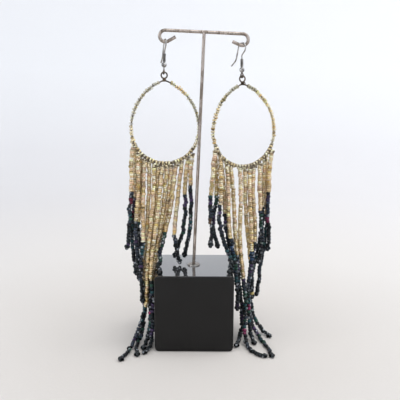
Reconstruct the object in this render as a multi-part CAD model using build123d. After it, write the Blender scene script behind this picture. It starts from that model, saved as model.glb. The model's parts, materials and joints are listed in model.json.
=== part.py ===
from build123d import *
import os
from math import atan2, cos, degrees, pi, radians, sin, sqrt, tan

# A pair of long beaded hoop earrings hung on a plain T-shaped stand with a cube base.
# Millimetres, +Z up, front towards -Y, origin under the middle of the base on the table.
# Each earring is an ear wire with a coil and a ball, a pointed wire hoop sleeved in beads,
# and a fringe of bead strings. Every string is a round tube along its route, and the long
# ones bend on the table or on the base's top and lie there.

os.makedirs("parts", exist_ok=True)

# Clearances between pieces
GAP = 0.1            # between an ear wire and the bar, and between its ball and coil
LOOP_GAP = 0.15      # between the small loop and the eye ring that hangs in it
BORE_GAP = 0.1       # all round a wire inside the hole of a coil, ball, bead or base
SEAT_GAP = 0.05      # under the collar
STRING_GAP = 0.3     # between the hoop's beads and the top bead of a string

# Stand
BASE_SIDE = 45.0
BASE_CORNER = 2.5    # corners of the front outline
BASE_EDGE = 0.8      # edges round the front and back faces
BAR_WIRE = 1.8
ROD_FOOT_X = -0.5    # where the leaning rod leaves the base's top
ROD_TOP_X = 4.9      # middle of the crossbar
ROD_TOP_Z = 179.5
ROD_DEPTH = 18.0     # length of rod inside the base
ROD_END_GAP = 0.2
BAR_STRAIGHT = 21.6  # each way from the rod to the start of the end bend
BAR_BEND = 3.15
BAR_TAIL = 4.9
LEFT_LIFT = 31.0     # how far each tail turns up past level, degrees
RIGHT_LIFT = 20.0
COLLAR_WIDE = 7.4
COLLAR_THICK = 0.6
COLLAR_ROUND = 0.2

# Ear wire. Its plane holds u (towards the tail, behind the bar) and w (up from the bend's top).
HOOK_WIRE = 0.8
HOOK_STEM_U = 0.7    # the coil, ball and small loop hang on this line
HOOK_LOOP_W = -17.75 # middle of the small loop
HOOK_LOOP = 1.1      # centreline radius
HOOK_BEND = 2.6
HOOK_TAIL = [(10.5, -12.0), (6.2, -9.2), (2.9, 0.0)]
HOOK_TAIL_BEND = 3.5
HOOK_FRONT = [(-2.7, 0.0), (-2.7, -3.8), (HOOK_STEM_U, -6.6)]
HOOK_FRONT_BEND = 2.4
HOOK_STEM_BEND = 1.6
COIL_WIDE = 1.7
COIL_LONG = 4.7
BALL_WIDE = 2.9

# Hoop
HOOP_WIRE = 0.8
HOOP_R = 19.5        # lower half, a half circle
HOOP_HIGH = 27.5     # from the half circle's centre to the peak
EYE_R = 1.7          # centreline radius of the eye ring over the peak
NECK = 1.0           # from the eye ring's lowest point to the peak
NECK_WIDE = 1.8
WIRE_SHORT = 0.5     # each end of the hoop's wire stops this far from the peak, in the neck
CURL_R = 0.7         # the small curl beside the right neck
CURL_WIRE = 0.5
CURL_OUT = 1.0
BEAD = 2.1
HOOP_BARE = 2.8      # bare wire each side of the peak

# How each earring hangs: turns about the vertical and leans in its own plane in degrees,
# the eye ring's slide along the small loop, and w where the coil starts
LEFT = {"hook_turn": 14.0, "hook_lean": 2.5, "slide": 0.2, "hoop_turn": 9.0, "hoop_lean": 1.0,
        "coil_top": -7.6}
RIGHT = {"hook_turn": 33.0, "hook_lean": -1.8, "slide": 0.3, "hoop_turn": 22.0, "hoop_lean": 3.7,
         "coil_top": -8.4}

# Heights of the middle of a string that lies on the table and on the base's top
LIE_GAP = 0.15
TABLE = BEAD / 2 + LIE_GAP
TOP = BASE_SIDE + TABLE

# Bead strings: angle on the hoop from its lowest point (- left, + right), angle round the
# hoop's wire from straight out (- front, + back), then the route's points down to the tip.
LEFT_STRINGS = {
    "01": (-66, -75, [(-36.5, -4.5, 109.5), (-36, -5, 100), (-36.5, -5, 90.5), (-37.5, -5, 83),
                      (-37.5, -5.5, 75), (-38.5, -5, 67.5), (-38.5, -5.5, 61), (-40, -5.5, 55.5)]),
    "02": (-59, 70, [(-34.5, -1.5, 105), (-34.5, -1.5, 93.5), (-35.5, -2, 81), (-36.5, -2, 70.5),
                     (-37, -2, 59.5), (-36, -2, 49), (-34.5, -2.5, 39)]),
    "03": (-51, -60, [(-32.5, -4, 102.5), (-32.5, -4.5, 92), (-33, -5, 83), (-34.5, -5, 73),
                      (-34.5, -5, 62.5), (-33.5, -5, 53), (-33, -5, 44), (-32.5, -4.5, 36)]),
    "04": (-43, 50, [(-31.5, -1, 101), (-31.5, -1, 89.5), (-32.5, -1, 78.5), (-33.5, -1, 70),
                     (-33, -1, 61.5), (-31.5, -1, 54), (-31.5, -1, 45.5), (-32.5, -1, 38.5)]),
    "05": (-35.5, -35, [(-29.5, -3, 98), (-30, -4, 85), (-30, -4.5, 72.5), (-30, -5.5, 61),
                        (-31, -7, 52), (-31.5, -7.5, 42.5), (-31, -7.5, 33), (-30.5, -8, 23.5)]),
    "06": (-27, 20, [(-26.5, -1, 96.5), (-27, -1, 83.5), (-28, -1, 70), (-28.5, -1.5, 59),
                     (-29.5, -2, 48.5), (-30, -2.5, 38), (-29.5, -3, 27.5), (-30, -3.5, 18),
                     (-30.5, -4.5, 10.5), (-31.5, -6.5, 4.5), (-33, -10.5, TABLE),
                     (-34, -20.5, TABLE), (-31.5, -30, TABLE)]),
    "07": (-19, -15, [(-23.5, -3, 95.5), (-24.5, -3, 81.5), (-26, -3.5, 68), (-27.5, -5, 54.5),
                      (-28, -6.5, 42.5), (-28, -7, 31.5), (-28.5, -7, 21.5), (-31.5, -6.5, 12.5),
                      (-34, -8.5, 4.5), (-36.5, -19, TABLE), (-38, -28.5, TABLE),
                      (-41, -35.5, TABLE)]),
    "08": (-12, 0, [(-22, -0.5, 94), (-22.5, -1, 81), (-24, -1, 67), (-26, -2, 53.5),
                    (-26.5, -3.5, 40.5), (-26.5, -5, 28.5), (-26, -6, 18.5), (-26.5, -8, 10.5),
                    (-27, -10.5, 5), (-28.5, -15.5, TABLE), (-29.5, -21.5, TABLE)]),
    "09": (-5, 0, [(-20, -3, 93), (-21, -3, 80.5), (-23, -3.5, 66.5), (-25, -5.5, 53),
                   (-25.5, -7.5, 40.5), (-24.5, -8.5, 28.5), (-24.5, -10, 17.5),
                   (-24.5, -12, 8.5), (-25, -14.5, 3.5), (-25.5, -18.5, TABLE),
                   (-26.5, -23, TABLE), (-29, -27, TABLE)]),
    "10": (2, 0, [(-17.5, 0.5, 92.5), (-18.5, 0, 80), (-20.5, 0, 67), (-23, -0.5, 54),
                  (-25, -1.5, 42), (-24.5, -2.5, 30), (-24.5, -4, 19), (-25, -5, 10)]),
    "11": (9.5, 0, [(-15, 1.5, 93.5), (-16, 2, 81.5), (-19, 2, 69), (-22, 2.5, 56),
                    (-24, 1.5, 44), (-25, 1, 34), (-25.5, 0.5, 25), (-25, 0, 16.5)]),
    "12": (17.5, 10, [(-12.5, 1, 95.5), (-13.5, 0.5, 82.5), (-16, 0, 71), (-18, 0, 62.5),
                      (-19.5, -0.5, 57), (-20.5, -1, 52), (-20.5, -3, 48.5), (-21, -7, TOP),
                      (-20, -14.5, TOP), (-19.5, -20.5, TOP)]),
    "13": (26.5, 15, [(-9, 2, 96.5), (-10, 1, 85), (-11.5, 0.5, 73.5), (-12, 0, 64),
                      (-11, 0, 57), (-10, 0, 51), (-8.5, -0.5, 45.5)]),
    "14": (38, 30, [(-5.5, 3, 98.5), (-6, 3, 87.5), (-5.5, 3, 76.5), (-6.5, 4, 66.5),
                    (-9.5, 4.5, 57), (-12.5, 6, 47.5)]),
    "15": (47, -20, [(-2.5, 2.5, 102), (-2.5, 2.5, 92), (-2, 2.5, 82.5), (-2.5, 3, 71),
                     (-4, 4, 59), (-6.5, 5, 48)]),
}
RIGHT_STRINGS = {
    "01": (-66, -75, [(10.5, -9, 108.5), (10.5, -9, 100.5), (9.5, -9.5, 93), (9, -9.5, 85),
                      (9, -9.5, 78), (10, -9.5, 71), (10, -9.5, 64), (9, -9.5, 58)]),
    "02": (-59, 70, [(12, -5.5, 104.5), (12.5, -6, 95), (12.5, -6, 85.5), (11, -6.5, 77.5),
                     (10.5, -7, 70), (12, -7, 63), (14, -7, 57)]),
    "03": (-51, -60, [(14.5, -8.5, 102), (15, -8.5, 92.5), (15, -9, 84), (13.5, -9.5, 77),
                      (15, -9.5, 70.5), (16, -9, 64), (18.5, -9, 58), (20.5, -9, 52.5),
                      (21, -11, 48.5), (20.5, -15, TOP), (20, -19.5, TOP)]),
    "04": (-42.5, 50, [(16, -4, 101), (17, -5, 90.5), (17.5, -5, 80), (18, -5.5, 71),
                       (19.5, -5.5, 62.5), (22, -5.5, 54.5), (23.5, -5.5, 47.5),
                       (24, -5, 40.5)]),
    "05": (-33, -30, [(19, -6.5, 97.5), (19.5, -7, 86.5), (19.5, -7, 75.5), (20.5, -7.5, 65),
                      (22.5, -8, 56.5), (24, -8, 47.5), (24.5, -8, 38), (26, -8, 28.5),
                      (25.5, -8, 19)]),
    "06": (-22.5, 20, [(22, -2, 93.5), (23, -2.5, 80.5), (23.5, -3, 67), (25, -3, 54.5),
                       (26, -3.5, 43.5), (27, -3, 32), (28.5, -1.5, 22.5), (29, -0.5, 14),
                       (29, -0.5, 7), (28.5, -2.5, 3.5), (27.5, -6, TABLE),
                       (25.5, -12.5, TABLE), (24.5, -18, TABLE)]),
    "07": (-7, -10, [(26.5, -2.5, 94.5), (27, -2.5, 81.5), (26.5, -2.5, 68.5), (27, -3, 55.5),
                     (28.5, -3.5, 44.5), (29.5, -4, 33.5), (31, -5, 23.5), (30.5, -5.5, 14.5),
                     (30, -8, 6), (30.5, -15, TABLE), (33, -23.5, TABLE), (37, -28.5, TABLE),
                     (41.5, -30, TABLE)]),
    "08": (2.5, 0, [(29.5, 1, 93), (30, 1, 80), (31, 1, 68), (32.5, 1, 56.5), (34, 0.5, 45.5),
                    (35, 0, 34.5), (35, 0, 23.5)]),
    "09": (11, 0, [(32, 0, 93), (32.5, -1, 80), (33.5, -1.5, 67), (34, -2, 53.5),
                   (33, -2, 41.5), (32, -3, 31), (33, -3, 22), (33, -3, 14.5),
                   (33.5, -4, 8), (34, -6, 3.5), (35, -10, TABLE), (36, -14.5, TABLE)]),
    "10": (19, 5, [(34, 2.5, 92.5), (35, 3, 79.5), (36.5, 3, 66), (36, 3, 53.5),
                   (34.5, 3.5, 41), (33, 3.5, 29), (33, 2.5, 18.5), (34.5, 1.5, 10.5),
                   (36.5, 0, 4.5), (39.5, -4.5, TABLE), (41.5, -14, TABLE),
                   (43.5, -22.5, TABLE), (44, -31, TABLE)]),
    "11": (30, -10, [(38, 3, 93.5), (39, 3, 81), (39.5, 3, 71), (41, 3.5, 61), (40, 4, 52),
                     (38.5, 4, 44.5)]),
    "12": (41, 10, [(41, 6.5, 97), (41, 7.5, 84.5), (41, 7, 71), (39.5, 7, 57.5),
                    (37, 7.5, 44.5), (34.5, 7, 32.5), (34, 6.5, 22.5), (35.5, 6, 14),
                    (38.5, 5.5, 7), (41.5, 3.5, 3), (44.5, 0, TABLE), (46.5, -4.5, TABLE)]),
    "13": (59, -60, [(44, 5, 104), (44, 5, 94), (44, 5.5, 85), (43.5, 5.5, 76.5),
                     (44.5, 5.5, 68.5), (45, 5.5, 62), (45, 5.5, 56.5), (44, 5.5, 52)]),
    "14": (50, 60, [(43, 9, 99.5), (43.5, 9, 87.5), (43.5, 8.5, 76), (43.5, 8.5, 64.5),
                    (42.5, 8.5, 54.5), (41, 9, 45.5), (40, 9.5, 35.5), (39.5, 9, 28),
                    (38.5, 9, 22)]),
}
FILLET_SHARE = 0.45  # share of the shorter run beside a corner that its arc may use

UP = Vector(0, 0, 1)
ON_BOTTOM = (Align.CENTER, Align.CENTER, Align.MIN)


def flat_dir(turn):
    """Level unit vector turned from +X by some degrees, anticlockwise seen from above."""
    return Vector(cos(radians(turn)), sin(radians(turn)), 0)


def round_wire(path, wide):
    """Round bar swept along a path, in section at the path's start."""
    return sweep(Plane(origin=path @ 0, z_dir=path % 0) * Circle(wide / 2), path=path)


# Stand, built in the upright plane through the rod and the crossbar

ROD_FOOT = Vector(ROD_FOOT_X, 0, BASE_SIDE)
ROD_TOP = Vector(ROD_TOP_X, 0, ROD_TOP_Z)
ROD_UP = (ROD_TOP - ROD_FOOT).normalized()
BAR_OUT = Vector(ROD_UP.Z, 0, -ROD_UP.X)


def bar_point(side, out, down):
    """Point beside the crossbar: side is -1 left or 1 right, out and down from the rod's top."""
    return ROD_TOP + BAR_OUT * (side * out) - ROD_UP * down


def bar_end(side, lift):
    """End bend and tail of the crossbar on one side, from the straight part outwards."""
    full = radians(180 + lift)

    def on_bend(angle):
        return bar_point(side, BAR_STRAIGHT + BAR_BEND * sin(angle),
                         BAR_BEND * (1 - cos(angle)))

    bend = ThreePointArc(on_bend(0), on_bend(full / 2), on_bend(full))
    tail_dir = BAR_OUT * (side * cos(full)) - ROD_UP * sin(full)
    tail = Line(on_bend(full), on_bend(full) + tail_dir * BAR_TAIL)
    return [bend, tail]


def cradle(side):
    """Lowest point of an end bend's centreline, where an ear wire hangs."""
    return bar_point(side, BAR_STRAIGHT, BAR_BEND) - UP * BAR_BEND


def rod_hole(length_down, length_up):
    """Cylinder along the rod's axis, wider than the rod by the bore gap all round."""
    start = ROD_FOOT - ROD_UP * length_down
    plane = Plane(origin=start, x_dir=BAR_OUT, z_dir=ROD_UP)
    radius = BAR_WIRE / 2 + BORE_GAP
    return plane * Cylinder(radius, length_down + length_up, align=ON_BOTTOM)


def build_stand_base():
    cube = Box(BASE_SIDE, BASE_SIDE, BASE_SIDE, align=ON_BOTTOM)
    cube = fillet(cube.edges().filter_by(Axis.Y), BASE_CORNER)
    ends = cube.faces().sort_by(Axis.Y)
    cube = fillet(ends[0].edges() + ends[-1].edges(), BASE_EDGE)
    return cube - rod_hole(ROD_DEPTH + ROD_END_GAP, BAR_WIRE)


def build_stand_collar():
    low = BASE_SIDE + SEAT_GAP
    disc = Pos(ROD_FOOT_X, 0, low) * Cylinder(COLLAR_WIDE / 2, COLLAR_THICK, align=ON_BOTTOM)
    disc = fillet(disc.edges().group_by(Axis.Z)[-1], COLLAR_ROUND)
    return disc - rod_hole(BAR_WIRE, COLLAR_THICK + BAR_WIRE)


def build_stand_tee():
    left = bar_end(-1, LEFT_LIFT)
    right = bar_end(1, RIGHT_LIFT)
    straight = Line(bar_point(-1, BAR_STRAIGHT, 0), bar_point(1, BAR_STRAIGHT, 0))
    bar = round_wire(Wire([*(e.edge() for e in left), straight.edge(),
                           *(e.edge() for e in right)]), BAR_WIRE)
    low = ROD_FOOT - ROD_UP * ROD_DEPTH
    rod = round_wire(Line(low, ROD_TOP), BAR_WIRE)
    return bar + rod


# Ear wire and its fittings

def hook_plane(side, ear):
    """Plane of an ear wire: x towards its tail, z up, the bend's top at the origin."""
    lift = BAR_WIRE / 2 + GAP + HOOK_WIRE / 2
    tail = flat_dir(ear["hook_turn"] + 90)
    across = flat_dir(ear["hook_turn"])
    lean = radians(ear["hook_lean"])
    up = UP * cos(lean) + across * sin(lean)
    return Plane(origin=cradle(side) + UP * lift, x_dir=tail, z_dir=up)


def hook_point(side, ear, u, w):
    plane = hook_plane(side, ear)
    return plane.origin + plane.x_dir * u + plane.z_dir * w


def build_ear_hook(side, ear):
    foot = (HOOK_STEM_U, HOOK_LOOP_W + HOOK_LOOP)
    corners = [hook_point(side, ear, u, w) for u, w in [*HOOK_TAIL, *HOOK_FRONT, foot]]
    radii = [HOOK_TAIL_BEND, HOOK_BEND, HOOK_BEND, HOOK_FRONT_BEND, HOOK_STEM_BEND]
    wire = round_wire(FilletPolyline(*corners, radius=radii), HOOK_WIRE)
    plane = hook_plane(side, ear)
    ring = Plane(origin=hook_point(side, ear, HOOK_STEM_U, HOOK_LOOP_W),
                 x_dir=plane.x_dir, z_dir=plane.y_dir) * Torus(HOOK_LOOP, HOOK_WIRE / 2)
    return wire + ring


def stem_plane(side, ear, w):
    plane = hook_plane(side, ear)
    return Plane(origin=hook_point(side, ear, HOOK_STEM_U, w), x_dir=plane.x_dir, z_dir=plane.z_dir)


def build_hook_coil(side, ear):
    tube = Cylinder(COIL_WIDE / 2, COIL_LONG) - Cylinder(HOOK_WIRE / 2 + BORE_GAP, COIL_LONG)
    return stem_plane(side, ear, ear["coil_top"] - COIL_LONG / 2) * tube


def build_hook_ball(side, ear):
    ball = Sphere(BALL_WIDE / 2) - Cylinder(HOOK_WIRE / 2 + BORE_GAP, BALL_WIDE)
    middle = ear["coil_top"] - COIL_LONG - GAP - BALL_WIDE / 2
    return stem_plane(side, ear, middle) * ball


# Hoop

UPPER_OFFSET = (HOOP_HIGH ** 2 - HOOP_R ** 2) / (2 * HOOP_R)
UPPER_R = HOOP_R + UPPER_OFFSET
PEAK_ANGLE = degrees(atan2(HOOP_HIGH, UPPER_OFFSET))


def eye_middle(side, ear):
    """Middle of the eye ring, whose wire rests in the ear wire's small loop."""
    loop = hook_point(side, ear, HOOK_STEM_U, HOOK_LOOP_W) - UP * HOOK_LOOP
    rest = loop + UP * ((HOOK_WIRE + HOOP_WIRE) / 2 + LOOP_GAP)
    drop = sqrt(EYE_R ** 2 - ear["slide"] ** 2)
    return rest + flat_dir(ear["hoop_turn"]) * ear["slide"] - UP * drop


def hoop_plane(side, ear):
    """Plane of a hoop: x to the right, y up towards the peak, half circle's centre at 0."""
    level = flat_dir(ear["hoop_turn"])
    lean = radians(ear["hoop_lean"])
    right = level * cos(lean) + UP * sin(lean)
    up = UP * cos(lean) - level * sin(lean)
    centre = eye_middle(side, ear) - up * (EYE_R + NECK + HOOP_HIGH)
    return Plane(origin=centre, x_dir=right, z_dir=right.cross(up))


def upper_arc(hand, low_angle, high_angle):
    """Arc of the hoop's upper side, hand 1 right or -1 left, angles up from level."""
    def at(angle):
        return (hand * (UPPER_R * cos(radians(angle)) - UPPER_OFFSET),
                UPPER_R * sin(radians(angle)))
    return ThreePointArc(at(low_angle), at((low_angle + high_angle) / 2), at(high_angle))


def hoop_path(plane, short):
    """Hoop's centreline from one side of the peak down and round, short of it at both ends."""
    top_angle = PEAK_ANGLE - degrees(short / UPPER_R)
    left = upper_arc(-1, 0, top_angle)
    right = upper_arc(1, 0, top_angle)
    low = ThreePointArc((-HOOP_R, 0), (0, -HOOP_R), (HOOP_R, 0))
    return plane * Wire([left.edge(), low.edge(), right.edge()])


def build_hoop_wire(side, ear):
    plane = hoop_plane(side, ear)
    hoop = round_wire(hoop_path(plane, WIRE_SHORT), HOOP_WIRE)
    eye = plane * Pos(0, HOOP_HIGH + NECK + EYE_R, 0) * Torus(EYE_R, HOOP_WIRE / 2)
    length = NECK + HOOP_WIRE
    neck = plane * Pos(0, HOOP_HIGH + length / 2 - HOOP_WIRE, 0) * Rot(X=90) * Cylinder(
        NECK_WIDE / 2, length)
    solid = hoop + neck + eye
    if side > 0:
        curl = Pos(CURL_OUT, HOOP_HIGH, 0) * Torus(CURL_R, CURL_WIRE / 2)
        solid = solid + plane * curl
    return solid


def build_hoop_beads(side, ear):
    path = hoop_path(hoop_plane(side, ear), HOOP_BARE)
    bore = round_wire(path, HOOP_WIRE + 2 * BORE_GAP)
    return round_wire(path, BEAD) - bore


# Bead strings

def string_start(side, ear, on_hoop, around):
    """Middle of a string's top end, hung under the hoop's beads."""
    plane = hoop_plane(side, ear)
    level = flat_dir(ear["hoop_turn"])
    back = flat_dir(ear["hoop_turn"] + 90)
    out = level * sin(radians(on_hoop)) - UP * cos(radians(on_hoop))
    off = out * cos(radians(around)) + back * sin(radians(around))
    reach = BEAD / 2 + STRING_GAP + BEAD / 2 * sqrt(max(0.0, 1 - off.Z ** 2))
    return plane.origin + out * HOOP_R + off * reach


def corner_radii(points):
    """Largest arc at each corner that leaves part of both runs beside it straight."""
    radii = []
    for before, corner, after in zip(points, points[1:], points[2:]):
        run_in, run_out = corner - before, after - corner
        turn = radians(run_in.get_angle(run_out))
        radii.append(FILLET_SHARE * min(run_in.length, run_out.length) / tan(turn / 2))
    return radii


def string_route(side, ear, row):
    on_hoop, around, points = row
    return [string_start(side, ear, on_hoop, around)] + [Vector(*p) for p in points]


def build_string(name, side, ear, row):
    points = string_route(side, ear, row)
    radii = corner_radii(points)
    path = FilletPolyline(*points, radius=radii)
    solid = round_wire(path, BEAD)
    section = pi * BEAD ** 2 / 4
    print(f"{name}: length {path.length:.1f}, volume over section x length "
          f"{solid.volume / (section * path.length):.4f}, radii "
          + " ".join(f"{r:.1f}" for r in radii))
    return solid


def build_earring(word, side, ear, strings):
    nodes = {
        f"{word}_ear_hook": build_ear_hook(side, ear),
        f"{word}_hook_coil": build_hook_coil(side, ear),
        f"{word}_hook_ball": build_hook_ball(side, ear),
        f"{word}_hoop_wire": build_hoop_wire(side, ear),
        f"{word}_hoop_beads": build_hoop_beads(side, ear),
    }
    for number, row in strings.items():
        name = f"{word}_strand_{number}"
        nodes[name] = build_string(name, side, ear, row)
    return nodes


def build_all():
    nodes = {
        "stand_base": build_stand_base(),
        "stand_collar": build_stand_collar(),
        "stand_tee": build_stand_tee(),
    }
    nodes.update(build_earring("left", -1, LEFT, LEFT_STRINGS))
    nodes.update(build_earring("right", 1, RIGHT, RIGHT_STRINGS))
    return nodes


for node, shape in build_all().items():
    solids = shape.solids()
    print(f"{node}: {len(solids)} solid, volume {shape.volume:.2f}, valid {shape.is_valid}")
    export_step(solids[0] if len(solids) == 1 else shape, f"parts/{node}.step")
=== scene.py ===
"""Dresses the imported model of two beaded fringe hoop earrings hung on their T-shaped stand."""

import json
import logging
from bisect import bisect_right
from collections.abc import Sequence
from dataclasses import dataclass, field
from enum import Enum
from math import atan2, cos, pi, radians, sin, sqrt
from random import Random

import bmesh
import bpy
from mathutils import Matrix, Vector

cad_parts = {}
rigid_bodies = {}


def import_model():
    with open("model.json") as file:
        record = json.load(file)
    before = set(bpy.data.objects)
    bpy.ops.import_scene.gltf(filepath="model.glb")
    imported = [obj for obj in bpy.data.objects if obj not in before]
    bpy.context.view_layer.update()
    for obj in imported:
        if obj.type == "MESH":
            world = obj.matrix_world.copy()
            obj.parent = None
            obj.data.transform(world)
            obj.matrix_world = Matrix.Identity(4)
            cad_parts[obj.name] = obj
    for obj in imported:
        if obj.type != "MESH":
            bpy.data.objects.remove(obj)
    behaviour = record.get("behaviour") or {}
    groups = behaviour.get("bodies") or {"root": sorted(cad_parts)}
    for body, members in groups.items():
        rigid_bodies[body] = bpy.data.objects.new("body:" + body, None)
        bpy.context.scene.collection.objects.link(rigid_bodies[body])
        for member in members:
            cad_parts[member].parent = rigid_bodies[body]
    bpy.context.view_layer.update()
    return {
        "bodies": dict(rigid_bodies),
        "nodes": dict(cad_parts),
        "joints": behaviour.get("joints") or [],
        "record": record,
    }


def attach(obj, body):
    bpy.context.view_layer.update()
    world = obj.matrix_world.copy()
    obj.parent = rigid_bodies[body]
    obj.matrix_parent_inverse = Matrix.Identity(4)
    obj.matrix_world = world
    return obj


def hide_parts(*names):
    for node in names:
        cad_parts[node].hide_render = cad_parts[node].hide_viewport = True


LOG = logging.getLogger("earrings")

MM = 0.001
UP = Vector((0.0, 0.0, 1.0))
BEAD_WIDE = 2.1 * MM
NOISE_ROUGHNESS = 0.55
# Heights, in millimetres, of the middle of a string that lies on the table and on the block
ON_TABLE = 1.2
ON_BLOCK = 46.2
Colour = tuple[float, float, float]
Place = tuple[float, float, float]
Span = tuple[float, float]


# Finishes


class Recipe:
    """Writes the nodes of one material round its Principled shader."""

    def __init__(self, name: str) -> None:
        """Starts a material.

        Args:
            name: The material's name.
        """
        self.material = bpy.data.materials.new(name)
        self.material.use_nodes = True
        self.tree = self.material.node_tree
        self.shader = self.tree.nodes["Principled BSDF"]
        where = self.add("ShaderNodeTexCoord")
        self.place, self.facing = where.outputs["Object"], where.outputs["Normal"]

    def add(self, kind: str, **settings: object) -> bpy.types.Node:
        """Adds a node.

        Args:
            kind: The node's type name.
            **settings: Properties to set on it.

        Returns:
            The new node.
        """
        node = self.tree.nodes.new(kind)
        for key, value in settings.items():
            setattr(node, key, value)
        return node

    def link(self, source: bpy.types.NodeSocket, target: bpy.types.NodeSocket) -> None:
        """Joins an output to an input."""
        self.tree.links.new(source, target)

    def fix(self, **values: object) -> None:
        """Sets constants on the shader's own sockets.

        Args:
            **values: Socket names, with underscores for spaces, and their values.
        """
        for key, value in values.items():
            socket = self.shader.inputs[key.replace("_", " ")]
            is_colour = isinstance(value, tuple) and len(value) == 3
            socket.default_value = (*value, 1.0) if is_colour else value

    def grain(self, size: float, stretch: Colour = (1.0, 1.0, 1.0),
              detail: float = 3.0) -> bpy.types.NodeSocket:
        """Noise on Object coordinates.

        Args:
            size: Rough size of a patch in metres.
            stretch: Factors that squeeze the pattern along X, Y and Z.
            detail: Octaves of the noise.

        Returns:
            The noise value's output.
        """
        mapping = self.add("ShaderNodeMapping")
        mapping.inputs["Scale"].default_value = stretch
        self.link(self.place, mapping.inputs["Vector"])
        noise = self.add("ShaderNodeTexNoise")
        noise.inputs["Scale"].default_value = 1.0 / size
        noise.inputs["Detail"].default_value = detail
        noise.inputs["Roughness"].default_value = NOISE_ROUGHNESS
        self.link(mapping.outputs["Vector"], noise.inputs["Vector"])
        return noise.outputs["Fac"]

    def attribute(self, name: str) -> bpy.types.Node:
        """Returns a node that reads a mesh attribute."""
        return self.add("ShaderNodeAttribute", attribute_name=name)

    def ramp(self, value: bpy.types.NodeSocket,
             stops: Sequence[tuple[float, Colour]]) -> bpy.types.NodeSocket:
        """Turns a value into a colour.

        Args:
            value: The value's output.
            stops: Places from 0 to 1 and their colours.

        Returns:
            The colour's output.
        """
        ramp = self.add("ShaderNodeValToRGB")
        elements = ramp.color_ramp.elements
        while len(elements) < len(stops):
            elements.new(0.5)
        for element, (place, colour) in zip(elements, stops):
            element.position = place
            element.color = (*colour, 1.0)
        self.link(value, ramp.inputs["Fac"])
        return ramp.outputs["Color"]

    def span(self, value: bpy.types.NodeSocket, low: float, high: float, to_low: float,
             to_high: float) -> bpy.types.NodeSocket:
        """Maps a value from one span to another, held at both ends.

        Args:
            value: The value's output.
            low: Start of the span it comes from.
            high: End of that span.
            to_low: Result at the start.
            to_high: Result at the end.

        Returns:
            The result's output.
        """
        node = self.add("ShaderNodeMapRange")
        node.inputs["From Min"].default_value = low
        node.inputs["From Max"].default_value = high
        node.inputs["To Min"].default_value = to_low
        node.inputs["To Max"].default_value = to_high
        self.link(value, node.inputs["Value"])
        return node.outputs["Result"]

    def blend(self, share: bpy.types.NodeSocket | float, first: bpy.types.NodeSocket | Colour,
              second: bpy.types.NodeSocket | Colour) -> bpy.types.NodeSocket:
        """Mixes two colours.

        Args:
            share: How much of the second colour, from 0 to 1.
            first: The first colour or its output.
            second: The second colour or its output.

        Returns:
            The mixed colour's output.
        """
        node = self.add("ShaderNodeMix", data_type="RGBA")
        for index, value in ((0, share), (6, first), (7, second)):
            if isinstance(value, bpy.types.NodeSocket):
                self.link(value, node.inputs[index])
            elif index == 0:
                node.inputs[0].default_value = value
            else:
                node.inputs[index].default_value = (*value, 1.0)
        return node.outputs[2]

    def colour(self, source: bpy.types.NodeSocket) -> None:
        """Gives the shader its base colour."""
        self.link(source, self.shader.inputs["Base Color"])

    def roughness(self, source: bpy.types.NodeSocket) -> None:
        """Gives the shader its roughness."""
        self.link(source, self.shader.inputs["Roughness"])

    def bump(self, height: bpy.types.NodeSocket, depth: float, strength: float) -> None:
        """Raises the surface by a height pattern.

        Args:
            height: The pattern's output, from 0 to 1.
            depth: Depth of the pattern in metres.
            strength: Strength of the bump.
        """
        node = self.add("ShaderNodeBump")
        node.inputs["Distance"].default_value = depth
        node.inputs["Strength"].default_value = strength
        self.link(height, node.inputs["Height"])
        self.link(node.outputs["Normal"], self.shader.inputs["Normal"])


@dataclass(frozen=True)
class BlackAcrylic:
    """Glossy black acrylic block with faint wiping marks, dust specks and a painted sheen on its
    top.
    """

    body: Colour = (0.0034, 0.0034, 0.0035)
    top_sheen: Colour = (0.042, 0.043, 0.046)
    dust: Colour = (0.06, 0.06, 0.058)
    haze: float = 1.7

    def make(self) -> bpy.types.Material:
        """Builds the material.

        Returns:
            The finished material.
        """
        recipe = Recipe("black_acrylic")
        specks = recipe.span(recipe.grain(0.35 * MM, detail=1.0), 0.74, 0.80, 0.0, 1.0)
        haze = recipe.ramp(recipe.grain(14 * MM, detail=5.0),
                           [(0.35, self.body), (0.75, tuple(c * self.haze for c in self.body))])
        # Painted sheen: the up-facing faces get a lighter colour, besides their coat.
        facing = recipe.add("ShaderNodeSeparateXYZ")
        recipe.link(recipe.facing, facing.inputs["Vector"])
        upward = recipe.span(facing.outputs["Z"], 0.8, 0.99, 0.0, 1.0)
        with_top_sheen = recipe.blend(upward, haze, self.top_sheen)
        recipe.colour(recipe.blend(specks, with_top_sheen, self.dust))
        recipe.link(upward, recipe.shader.inputs["Coat Weight"])
        recipe.fix(IOR=1.37, Coat_IOR=1.7, Coat_Roughness=0.02)
        wiped = recipe.grain(9 * MM, stretch=(1.0, 1.0, 0.35), detail=6.0)
        recipe.roughness(recipe.span(wiped, 0.3, 0.8, 0.03, 0.09))
        return recipe.material


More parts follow.
